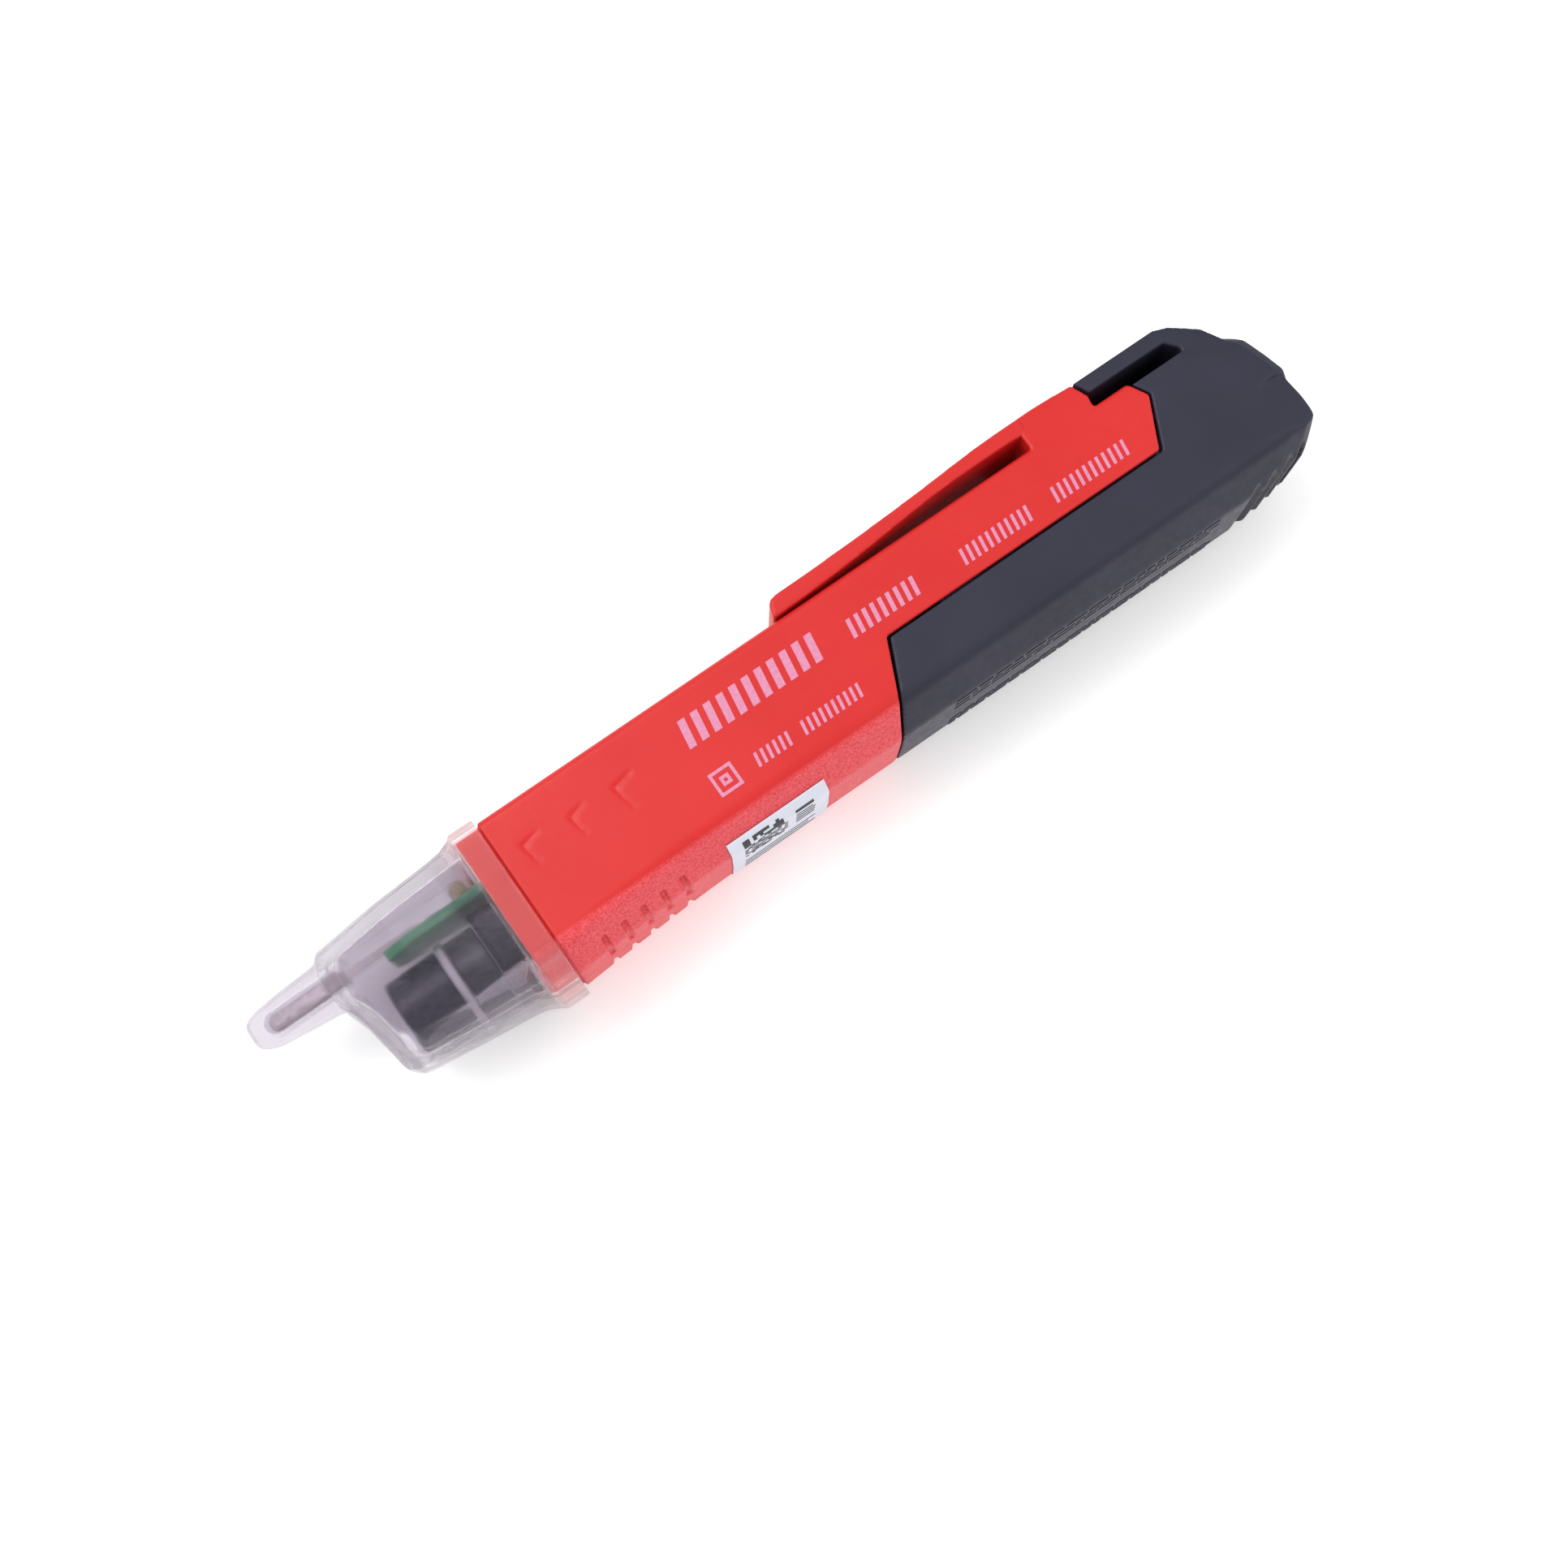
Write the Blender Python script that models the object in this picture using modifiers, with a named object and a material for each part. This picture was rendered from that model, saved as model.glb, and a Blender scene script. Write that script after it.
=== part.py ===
"""Non contact voltage tester: clear sensing nose, hollow sleeve with a pocket clip,
slide-off battery cover, two press buttons, circuit board, torch and two AAA cells.

All shapes are laid out in millimetres as (s, d, z):
  s  station along the pen, measured back from the end of the sensing tip
  d  depth measured inward from the flat clip side of the body
  z  height above the mid plane between the two wide faces
Nose points to -X, clip side to +Y, the printed wide face to +Z.
"""

import math

import bmesh
import bpy
from mathutils import Vector

MM = 0.001
LENGTH = 155.8        # overall length
CLIP_FACE_Y = 9.42    # Y of the flat clip side, places the box on Y = 0
MID_Z = 12.7          # height of the mid plane, puts the collar on Z = 0
GAP = 0.3             # clearance between neighbouring pieces

BODY_HALF = 11.8      # half thickness between the two wide faces
BODY_DEPTH = 20.8     # depth of the body along most of its length
BODY_DEPTH_NOSE = 22.0
BODY_START = 37.8     # station of the step behind the clear collar
NECK_START = 34.25    # station of the end of the neck held in the collar
NECK_INSET = 0.5      # how far the neck is set in from the sleeve
WALL_WIDE = 1.1       # wall under the wide faces
WALL_EDGE = 1.7       # wall under the clip side and the back

COLLAR_FRONT = 34.0
COLLAR_REAR = 37.5
COLLAR_HALF = 12.7
COLLAR_BACK = 23.0
COLLAR_OUT = 0.7      # how far the collar stands proud of the clip side
NOSE_WALL = 1.6
NOSE_BEVEL = 2.5      # depth of the sloped shoulders of the nose and the collar
NOSE_FRONT = 11.4     # station of the front wall beside the tip
TIP_DEPTH = 4.4       # depth of the centre line of the sensing tip
WALL_LEAN = 2.5       # how far the front wall leans back beyond the tip
WALL_LEAN_START = 8.3
WALL_LEAN_REACH = 4.2

COVER_CORNER_S = 92.5  # front corner of the cover on the wide faces
COVER_HEEL_S = 87.2    # front edge of the cover at the back
COVER_EDGE_D = 9.6     # seam between tongue and cover
TONGUE_END_S = 138.6
COVER_CAVITY_END = 147.9

CLIP_HALF = 11.7      # half width of the clip, its root and the hood
CLIP_OUT = 4.15       # how far the clip stands proud of the clip side
HOOD_OUT = 3.85
SLOT_FLOOR = 0.6      # depth of the floor of the slot under the hood
CLIP_ROOT_S = 121.9
CLIP_TIP_S = 82.6
CLIP_HINGE_S = 122.1  # bending axis of the clip
CLIP_HINGE_D = -3.8

CELL_RADIUS = 5.1     # AAA cell
CELL_LENGTH = 44.5
CELL_NUB = 1.3
CELL_Z = 5.2
CELL_D = 10.2
CELL_START_S = 99.5

BOARD_FRONT_S = 19.5
BOARD_REAR_S = 86.0
BOARD_TOP_D = 5.4
BOARD_THICK = 1.2

TORCH_D = 13.0
TORCH_RADIUS = 4.8
TORCH_FRONT_S = 17.1
TORCH_REAR_S = 30.0

BOSS_S = (57.5, 80.0)  # stations of the two board screws

POWER_S = 50.0
TORCH_BUTTON_S = 65.0
BUTTON_LONG = 4.7     # half length of a button along the pen
BUTTON_WIDE = 4.1     # half width of a button


def clear_scene():
    for item in list(bpy.data.objects):
        bpy.data.objects.remove(item, do_unlink=True)


def collection(name):
    made = bpy.data.collections.new(name)
    bpy.context.scene.collection.children.link(made)
    return made


clear_scene()
PARTS = collection("non_contact_voltage_tester")
CUTTERS = collection("cutters")


def at(s, d, z):
    """Point of the pen in metres."""
    return Vector(((s - LENGTH / 2) * MM, (CLIP_FACE_Y - d) * MM, (MID_Z + z) * MM))


def material(name, colour, roughness, metallic=0.0, alpha=1.0):
    made = bpy.data.materials.new(name)
    made.use_nodes = True
    shader = made.node_tree.nodes["Principled BSDF"]
    shader.inputs["Base Color"].default_value = (*colour, 1.0)
    shader.inputs["Roughness"].default_value = roughness
    shader.inputs["Metallic"].default_value = metallic
    shader.inputs["Alpha"].default_value = alpha
    made.diffuse_color = (*colour, alpha)
    return made


def place(obj, mat):
    PARTS.objects.link(obj)
    obj.data.materials.clear()
    obj.data.materials.append(mat)
    return obj


def as_cutter(obj):
    CUTTERS.objects.link(obj)
    obj.hide_render = True
    obj.display_type = "WIRE"
    return obj


def set_origin(obj, s, d, z):
    """Move the origin of a piece onto its joint axis without moving its shape."""
    centre = at(s, d, z)
    for vert in obj.data.vertices:
        vert.co -= centre
    obj.location = centre
    return obj


def combine(target, tool, operation):
    as_cutter(tool)
    mod = target.modifiers.new(operation.lower() + "_" + tool.name, "BOOLEAN")
    mod.operation = operation
    mod.solver = "EXACT"
    mod.object = tool
    return target


def cut(target, tool):
    return combine(target, tool, "DIFFERENCE")


def join(target, tool):
    return combine(target, tool, "UNION")


def mesh_object(name, points, faces):
    mesh = bpy.data.meshes.new(name)
    mesh.from_pydata(points, [], faces)
    mesh.update()
    return bpy.data.objects.new(name, mesh)


def loft(name, rings):
    """Solid through rings of equal point count, closed with a flat cap at each end."""
    count = len(rings[0])
    points = [at(*p) for ring in rings for p in ring]
    faces = []
    for k in range(len(rings) - 1):
        a = k * count
        b = a + count
        for i in range(count):
            j = (i + 1) % count
            faces.append((a + i, a + j, b + j, b + i))
    faces.append(tuple(reversed(range(count))))
    last = (len(rings) - 1) * count
    faces.append(tuple(range(last, last + count)))
    return mesh_object(name, points, faces)


def prism(name, outline, low, high, plane="sd"):
    """Flat outline pushed through from low to high along the axis left out of plane."""
    curve = bpy.data.curves.new(name, "CURVE")
    curve.dimensions = "2D"
    curve.fill_mode = "BOTH"
    curve.extrude = (high - low) / 2 * MM
    curve.render_resolution_u = 0
    spline = curve.splines.new("POLY")
    spline.points.add(len(outline) - 1)
    for point, (u, v) in zip(spline.points, outline):
        point.co = (u * MM, v * MM, 0.0, 1.0)
    spline.use_cyclic_u = True
    shape = bpy.data.objects.new(name + "_outline", curve)
    bpy.context.scene.collection.objects.link(shape)
    bpy.context.view_layer.update()
    graph = bpy.context.evaluated_depsgraph_get()
    mesh = bpy.data.meshes.new_from_object(shape.evaluated_get(graph))
    bpy.data.objects.remove(shape, do_unlink=True)
    middle = (high + low) / 2
    for vert in mesh.vertices:
        u, v, w = (c / MM for c in vert.co)
        w = w + middle
        if plane == "sd":
            vert.co = at(u, v, w)
        elif plane == "sz":
            vert.co = at(u, w, v)
        else:
            vert.co = at(w, u, v)
    return tidy(name, mesh)


def tidy(name, mesh):
    """Weld a mesh and turn its faces outward."""
    bm = bmesh.new()
    bm.from_mesh(mesh)
    bmesh.ops.remove_doubles(bm, verts=bm.verts, dist=1e-6)
    bmesh.ops.recalc_face_normals(bm, faces=bm.faces)
    bm.to_mesh(mesh)
    bm.free()
    mesh.name = name
    return bpy.data.objects.new(name, mesh)


def block(name, s0, s1, d0, d1, z0, z1):
    outline = [(s0, d0), (s1, d0), (s1, d1), (s0, d1)]
    return prism(name, outline, z0, z1)


def rounded(s0, s1, v0, v1, radius, steps=4):
    """Outline of a rectangle with round corners."""
    points = []
    corners = [(s1, v1, 0), (s0, v1, 90), (s0, v0, 180), (s1, v0, 270)]
    for cs, cv, start in corners:
        ms = cs - radius if cs == s1 else cs + radius
        mv = cv - radius if cv == v1 else cv + radius
        for k in range(steps + 1):
            a = math.radians(start + 90 * k / steps)
            points.append((ms + radius * math.cos(a), mv + radius * math.sin(a)))
    return points


def turned(name, profile, centre, direction, steps=24):
    """Revolve (radius, distance) pairs about a line through centre along s or d."""
    mesh = bpy.data.meshes.new(name)
    points = [(r * MM, 0.0, -t * MM) for r, t in profile]
    count = len(points)
    loop = profile[0][0] > 0
    edges = [(k, k + 1) for k in range(count - 1)]
    if loop:
        edges.append((count - 1, 0))
    mesh.from_pydata(points, edges, [])
    obj = bpy.data.objects.new(name, mesh)
    obj.location = at(*centre)
    if direction == "s":
        obj.rotation_euler = (0.0, -math.pi / 2, 0.0)
    else:
        obj.rotation_euler = (-math.pi / 2, 0.0, 0.0)
    mod = obj.modifiers.new("revolve", "SCREW")
    mod.axis = "Z"
    mod.angle = math.tau
    mod.screw_offset = 0.0
    mod.steps = steps
    mod.render_steps = steps
    mod.use_merge_vertices = True
    mod.merge_threshold = 0.000005
    return obj


def rod(name, radius, centre, length, direction, steps=24):
    profile = [(0.0, 0.0), (radius, 0.0), (radius, length), (0.0, length)]
    return turned(name, profile, centre, direction, steps)


def wire(name, points, radius, resolution=2):
    curve = bpy.data.curves.new(name, "CURVE")
    curve.dimensions = "3D"
    curve.bevel_depth = radius * MM
    curve.bevel_resolution = resolution
    curve.use_fill_caps = True
    curve.render_resolution_u = 0
    spline = curve.splines.new("POLY")
    spline.points.add(len(points) - 1)
    for point, co in zip(spline.points, points):
        point.co = (*at(*co), 1.0)
    shape = bpy.data.objects.new(name + "_line", curve)
    bpy.context.scene.collection.objects.link(shape)
    bpy.context.view_layer.update()
    graph = bpy.context.evaluated_depsgraph_get()
    mesh = bpy.data.meshes.new_from_object(shape.evaluated_get(graph))
    bpy.data.objects.remove(shape, do_unlink=True)
    return tidy(name, mesh)


def fillet(corners, radii, splits=None, steps=4):
    """Closed outline with each corner rounded by its own radius.

    splits gives, for each corner, how many points to add on the side that follows it.
    """
    points = []
    count = len(corners)
    for k, (corner, radius) in enumerate(zip(corners, radii)):
        here = Vector(corner)
        back = (Vector(corners[k - 1]) - here).normalized()
        ahead = (Vector(corners[(k + 1) % count]) - here).normalized()
        half = back.angle(ahead) / 2
        start = here + back * radius / math.tan(half)
        centre = here + (back + ahead).normalized() * radius / math.sin(half)
        sweep = math.pi - 2 * half
        turn = math.copysign(1.0, back.x * ahead.y - back.y * ahead.x)
        arm = start - centre
        for j in range(steps + 1):
            a = -turn * sweep * j / steps
            u = arm.x * math.cos(a) - arm.y * math.sin(a)
            v = arm.x * math.sin(a) + arm.y * math.cos(a)
            points.append((centre.x + u, centre.y + v))
        points.append(None)
    if not splits:
        return [p for p in points if p]
    filled = []
    side = 0
    for k, point in enumerate(points):
        if point:
            filled.append(point)
            continue
        u0, v0 = points[k - 1]
        u1, v1 = points[(k + 1) % len(points)]
        parts = splits[side] + 1
        for j in range(1, parts):
            filled.append((u0 + (u1 - u0) * j / parts, v0 + (v1 - v0) * j / parts))
        side += 1
    return filled


def section(s, front, back, half, corner=1.0, soft=2.4, bevel_d=3.3, bevel_z=5.2, splits=None):
    """Body cross section: flat clip side and wide faces, sloped shoulders, bowed back."""
    edge = back - 0.2
    corners = [
        (front, -half), (front, half), (edge - bevel_d, half), (edge, half - bevel_z),
        (back, 0.0), (edge, bevel_z - half), (edge - bevel_d, -half),
    ]
    radii = [corner, corner, soft, soft, 3.0, soft, soft]
    return [(s, d, z) for d, z in fillet(corners, radii, splits)]


def oval(s, centre, wide, tall, power=3.0, steps=20):
    points = []
    for k in range(steps):
        a = math.tau * k / steps
        c = math.cos(a)
        q = math.sin(a)
        d = centre - wide * math.copysign(abs(c) ** (2 / power), c)
        z = tall * math.copysign(abs(q) ** (2 / power), q)
        points.append((s, d, z))
    return points


def body_depth(s):
    """The sleeve deepens a little toward the collar."""
    reach = min(1.0, max(0.0, (60.0 - s) / (60.0 - BODY_START)))
    return BODY_DEPTH + (BODY_DEPTH_NOSE - BODY_DEPTH) * reach ** 1.4


def seam(gap):
    """Outline in (s, d) of everything behind the seam of the battery cover."""
    return [
        (COVER_HEEL_S + gap, 26.0),
        (COVER_HEEL_S + 0.2 + gap, 20.6),
        (COVER_CORNER_S + gap, COVER_EDGE_D + gap),
        (TONGUE_END_S - 3.4 + gap, COVER_EDGE_D + gap),
        (TONGUE_END_S + gap, 2.9),
        (TONGUE_END_S - 1.1 + gap, 0.9),
        (TONGUE_END_S - 1.6 + gap, -0.3),
        (TONGUE_END_S - 1.6 + gap, -9.0),
        (LENGTH + 8.0, -9.0),
        (LENGTH + 8.0, 26.0),
    ]


def body_shell(mat):
    neck = BODY_DEPTH_NOSE - NECK_INSET
    rings = []
    for s in (NECK_START, BODY_START):
        rings.append(section(s, NECK_INSET, neck, BODY_HALF - NECK_INSET, 0.8))
    for s in (BODY_START, 42.0, 46.0, 50.0, 55.0, 60.0, 100.0, 142.0):
        rings.append(section(s, 0.0, body_depth(s), BODY_HALF))
    shell = place(loft("body_shell", rings), mat)
    pillar = [
        (CLIP_ROOT_S, 1.0), (CLIP_ROOT_S, -2.1), (CLIP_ROOT_S, -CLIP_OUT), (126.0, -CLIP_OUT),
        (131.1, -HOOD_OUT), (132.1, -1.6), (131.9, 0.3), (131.9, 1.0),
    ]
    join(shell, prism("clip_pillar", pillar, -CLIP_HALF, CLIP_HALF))
    inside = []
    for s in (30.0, BODY_START):
        inside.append(section(s, 2.6, BODY_DEPTH_NOSE - 2.6, BODY_HALF - 2.5, 0.6, 1.6))
    for s in (BODY_START, 42.0, 46.0, 50.0, 55.0, 60.0, 100.0, 146.0):
        depth = body_depth(s) - WALL_EDGE
        inside.append(section(s, WALL_EDGE, depth, BODY_HALF - WALL_WIDE, 0.6, 1.6))
    cut(shell, loft("sleeve_bore", inside))
    cut(shell, prism("cover_seam", seam(0.0), -16.0, 16.0))
    for name, s in (("power", POWER_S), ("torch", TORCH_BUTTON_S)):
        outline = rounded(
            s - BUTTON_LONG - GAP, s + BUTTON_LONG + GAP, -BUTTON_WIDE - GAP, BUTTON_WIDE + GAP, 2.2)
        cut(shell, prism(name + "_window", outline, -2.0, 3.0, "sz"))
    for k in range(5):
        s = 42.3 + 3.0 * k
        inner = section(s, 8.0, body_depth(s) - 0.65, BODY_HALF - 0.5)
        slope = [(d, z) for _, d, z in inner if d > 17.4]
        slope.sort(key=lambda p: p[1])
        outline = slope + [(26.0, slope[-1][1]), (26.0, slope[0][1])]
        cut(shell, prism("grip_groove_%d" % k, outline, s, s + 1.25, "dz"))
    for k, s in enumerate(BOSS_S):
        join(shell, rod("board_boss_%d" % k, 1.6, (s, 1.2, 0.0), BOARD_TOP_D - GAP - 1.2, "d"))
        cut(shell, rod("boss_bore_%d" % k, 0.95, (s, 2.4, 0.0), 8.0, "d", 16))
    return shell


def pocket_clip(mat):
    end = CLIP_ROOT_S - GAP
    outline = [
        (CLIP_TIP_S - 0.3, -0.3), (CLIP_TIP_S + 0.4, -2.2), (CLIP_TIP_S + 1.8, -2.75),
        (90.0, -2.8), (98.5, -3.1), (107.0, -3.5), (114.0, -3.95), (end, -CLIP_OUT),
        (end, -2.1), (116.0, -2.15), (110.0, -2.0), (104.0, -1.6), (97.0, -1.0), (90.0, -0.55),
    ]
    clip = place(prism("pocket_clip", outline, -CLIP_HALF, CLIP_HALF), mat)
    return set_origin(clip, CLIP_HINGE_S, CLIP_HINGE_D, 0.0)


def slanted(ring, share):
    """Lean a ring back where it passes beyond the tip."""
    leaned = []
    for s, d, z in ring:
        reach = max(0.0, d - WALL_LEAN_START) / WALL_LEAN_REACH
        leaned.append((s + share * WALL_LEAN * (1.0 - math.exp(-reach)), d, z))
    return leaned


NOSE = [
    (NOSE_FRONT, 3.0, 18.0, 5.0, 1.0),
    (NOSE_FRONT + 0.25, 1.8, 19.1, 6.3, 1.0),
    (NOSE_FRONT + 1.3, 1.0, 20.0, 7.3, 1.0),
    (22.0, 0.4, 20.9, 9.3, 0.5),
    (30.0, 0.2, 21.5, 10.7, 0.0),
    (32.0, 0.1, 21.8, 11.3, 0.0),
]


def nose_rings(inset, shift):
    rings = []
    for s, front, back, half, share in NOSE:
        corner = 1.6 - inset * 0.4
        soft = 2.2 - inset * 0.4
        ring = section(
            s + shift, front + inset, back - inset, half - inset, corner, soft,
            NOSE_BEVEL, 0.42 * half)
        rings.append(slanted(ring, share))
    return rings


def nose_lens(mat):
    rings = nose_rings(0.0, 0.0)
    rings.append(
        section(COLLAR_FRONT - 0.4, -0.3, COLLAR_BACK - 0.4, 12.2, 1.6, 2.4, NOSE_BEVEL))
    for s in (COLLAR_FRONT + 0.1, COLLAR_REAR):
        rings.append(
            section(s, -COLLAR_OUT, COLLAR_BACK, COLLAR_HALF, 1.6, 2.4, NOSE_BEVEL))
    lens = place(loft("nose_lens", rings), mat)
    finger = [
        oval(0.0, TIP_DEPTH - 0.1, 1.2, 0.8), oval(0.3, TIP_DEPTH - 0.1, 1.8, 1.4),
        oval(1.1, TIP_DEPTH - 0.1, 2.4, 1.9), oval(2.6, TIP_DEPTH, 2.8, 2.3),
        oval(6.0, TIP_DEPTH, 3.15, 2.6), oval(12.6, TIP_DEPTH + 0.1, 3.6, 3.0),
    ]
    join(lens, loft("sensing_tip", finger))
    inside = nose_rings(NOSE_WALL, 1.9)
    fit = NECK_INSET - GAP
    inner = BODY_DEPTH_NOSE - fit
    step = NECK_START - GAP
    inside = inside[:4] + [section(step, 2.0, 20.1, 10.1, 0.9, 1.8)]
    for s in (step, 40.0):
        inside.append(section(s, fit, inner, BODY_HALF - fit, 0.9, 2.2))
    cut(lens, loft("lens_bore", inside))
    slot = rounded(2.2, 15.0, TIP_DEPTH - 1.45, TIP_DEPTH + 1.45, 1.3)
    cut(lens, prism("tip_slot", slot, -1.3, 1.3))
    return lens


def tail_end(d):
    """Station of the end of the cover at a given depth."""
    knots = [
        (-2.0, 149.2), (1.0, 150.2), (2.6, 152.8), (3.7, 154.0), (6.8, 155.0), (9.9, LENGTH),
        (10.7, 155.2), (13.8, 155.5), (16.9, 155.4), (18.9, 153.6), (20.8, 151.2), (23.0, 148.6),
    ]
    for (d0, s0), (d1, s1) in zip(knots, knots[1:]):
        if d <= d1:
            return s0 + (s1 - s0) * (d - d0) / (d1 - d0)
    return knots[-1][1]


WIDE_SPLITS = (0, 7, 0, 0, 0, 0, 7)


def tail_ring(back_off, front, back, half):
    ring = section(
        0.0, front, back, half, 1.0, 2.0, 3.3, min(5.2, half * 0.44), splits=WIDE_SPLITS)
    return [(tail_end(d) - back_off, d, z) for _, d, z in ring]


def battery_cover(mat):
    rings = []
    for s in (80.0, 110.0, 143.0):
        rings.append(section(s, 0.0, BODY_DEPTH, BODY_HALF, splits=WIDE_SPLITS))
    rings.append(tail_ring(5.0, 0.0, BODY_DEPTH, BODY_HALF))
    rings.append(tail_ring(1.8, 0.1, BODY_DEPTH - 0.1, BODY_HALF - 0.2))
    rings.append(tail_ring(0.6, 0.4, BODY_DEPTH - 0.5, BODY_HALF - 0.8))
    rings.append(tail_ring(0.0, 1.4, BODY_DEPTH - 1.6, BODY_HALF - 2.2))
    rings.append(tail_ring(0.0, 5.0, BODY_DEPTH - 5.0, BODY_HALF - 7.0))
    cover = place(loft("battery_cover", rings), mat)
    set_origin(cover, COVER_CORNER_S, BODY_DEPTH / 2, 0.0)
    inside = []
    for s in (78.0, 110.0, COVER_CAVITY_END):
        depth = BODY_DEPTH - WALL_EDGE
        inside.append(section(s, WALL_EDGE, depth, BODY_HALF - WALL_WIDE, 0.6, 1.6))
    cut(cover, loft("cover_bore", inside))
    keep_out = [(70.0, 26.0)] + seam(GAP)[:8] + [(70.0, -9.0)]
    cut(cover, prism("cover_front_seam", keep_out, -16.0, 16.0))
    floor = [(134.0, -3.0), (146.5, -3.0), (145.6, SLOT_FLOOR), (134.0, SLOT_FLOOR)]
    cut(cover, prism("slot_floor", floor, -16.0, 16.0))
    hood = [
        (131.5, -HOOD_OUT), (144.2, -HOOD_OUT), (146.2, -3.1), (147.9, -1.8), (149.5, -0.5),
        (151.2, 2.4), (147.5, 2.4), (145.7, SLOT_FLOOR + 0.1), (145.9, 0.2), (144.4, -1.65),
        (132.5, -1.75),
    ]
    join(cover, prism("hood", hood, -CLIP_HALF, CLIP_HALF))
    join(cover, block("slot_web", 133.0, 146.6, -2.0, -0.3, -2.0, 2.0))
    edge = BODY_DEPTH
    teeth = [
        (142.5, edge + 0.05), (144.2, edge - 0.75), (145.2, edge - 0.15), (146.9, edge - 0.95),
        (147.9, edge - 0.4), (149.6, edge - 1.4), (150.6, edge - 1.0), (151.6, edge - 2.0),
        (153.0, 25.0), (142.5, 25.0),
    ]
    cut(cover, prism("pull_ridges", teeth, -7.0, 7.0))
    return cover


def circuit_board(mat):
    f = BOARD_FRONT_S
    outline = [
        (f, -4.2), (23.0, -5.8), (34.0, -6.9), (37.0, -8.6), (BOARD_REAR_S, -8.6),
        (BOARD_REAR_S, 8.6), (37.0, 8.6), (34.0, 6.9), (23.0, 5.8), (f, 4.2),
    ]
    board = prism("circuit_board", outline, BOARD_TOP_D, BOARD_TOP_D + BOARD_THICK, "sz")
    place(board, mat)
    for k, s in enumerate(BOSS_S):
        cut(board, rod("board_hole_%d" % k, 1.05, (s, 5.0, 0.0), 6.0, "d", 16))
    return board


def board_screws(mat):
    back = BOARD_TOP_D + BOARD_THICK
    profile = [(0.0, 0.0), (0.7, 0.0), (0.7, 3.6), (1.7, 3.6), (1.7, 4.3), (1.1, 4.7), (0.0, 4.7)]
    for k, s in enumerate(BOSS_S):
        place(turned("board_screw_%d" % (k + 1), profile, (s, back + 0.3 - 3.6, 0.0), "d", 16), mat)


def sensor_strip(mat):
    blade = rounded(2.7, 14.0, TIP_DEPTH - 1.1, TIP_DEPTH + 1.1, 1.0)
    strip = place(prism("sensor_strip", blade, -0.2, 0.2), mat)
    join(strip, block("sensor_tail", 13.0, 25.0, TIP_DEPTH - 0.5, TIP_DEPTH + 0.5, -0.2, 0.2))


def switches(mat, plunger_mat):
    for name, s in (("power", POWER_S), ("torch", TORCH_BUTTON_S)):
        body = prism(name + "_switch", rounded(s - 3, s + 3, -3, 3, 0.4, 2), 3.9, 5.15, "sz")
        place(body, mat)
        cut(body, rod(name + "_switch_bore", 1.9, (s, 3.0, 0.0), 2.0, "d", 20))
        place(rod(name + "_plunger", 1.6, (s, 3.0, 0.0), 1.3, "d", 20), plunger_mat)


def buttons(mats):
    for name, s, mat in (("power", POWER_S, mats[0]), ("torch", TORCH_BUTTON_S, mats[1])):
        cap = rounded(s - BUTTON_LONG, s + BUTTON_LONG, -BUTTON_WIDE, BUTTON_WIDE, 2.0)
        crown = rounded(s - 4.1, s + 4.1, -3.5, 3.5, 1.5)
        flange = rounded(s - 5.8, s + 5.8, -5.2, 5.2, 2.0)
        button = place(prism(name + "_button", flange, 2.0, 2.7, "sz"), mat)
        set_origin(button, s, 2.0, 0.0)
        join(button, prism(name + "_cap", cap, -0.5, 2.2, "sz"))
        join(button, prism(name + "_crown", crown, -0.8, 0.0, "sz"))


def torch(dark, white, clear):
    length = TORCH_REAR_S - TORCH_FRONT_S
    barrel = [
        (0.0, 0.0), (TORCH_RADIUS, 0.0), (TORCH_RADIUS, length), (4.4, length),
        (2.1, 6.0), (2.1, 2.0), (0.0, 2.0),
    ]
    barrel = [(r, length - t) for r, t in reversed(barrel)]
    place(turned("torch_barrel", barrel, (TORCH_FRONT_S, TORCH_D, 0.0), "s", 32), dark)
    low = TORCH_RADIUS + 0.1
    high = TORCH_RADIUS + 0.45
    ring = [(low, 0.0), (high, 0.0), (high, 1.0), (low, 1.0)]
    place(turned("torch_ring", ring, (24.6, TORCH_D, 0.0), "s", 32), white)
    led = [
        (0.0, 0.0), (0.7, 0.15), (1.2, 0.55), (1.45, 1.2), (1.45, 3.8), (1.8, 3.8),
        (1.8, 4.4), (0.0, 4.4),
    ]
    place(turned("torch_led", led, (23.3, TORCH_D, 0.0), "s", 20), clear)
    holder = prism("torch_holder", rounded(7.6, 17.0, -5.6, 5.6, 1.4), 30.4, 44.0, "dz")
    place(holder, dark)


def indicator_led(mat):
    led = [(0.0, 0.0), (0.7, 0.15), (1.2, 0.5), (1.45, 1.1), (1.45, 2.4), (0.0, 2.4)]
    place(turned("indicator_led", led, (31.6, 2.7, 2.6), "d", 20), mat)


def board_parts(dark, buzz):
    chip = prism("controller_chip", rounded(46.0, 52.0, -3.4, 3.4, 0.3, 2), 6.8, 8.2, "sz")
    place(chip, dark)
    sounder = [(0.0, 0.0), (4.4, 0.0), (4.4, 2.6), (1.1, 2.6), (1.1, 1.8), (0.0, 1.8)]
    place(turned("buzzer", sounder, (71.0, 6.9, 0.0), "d", 32), buzz)


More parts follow.
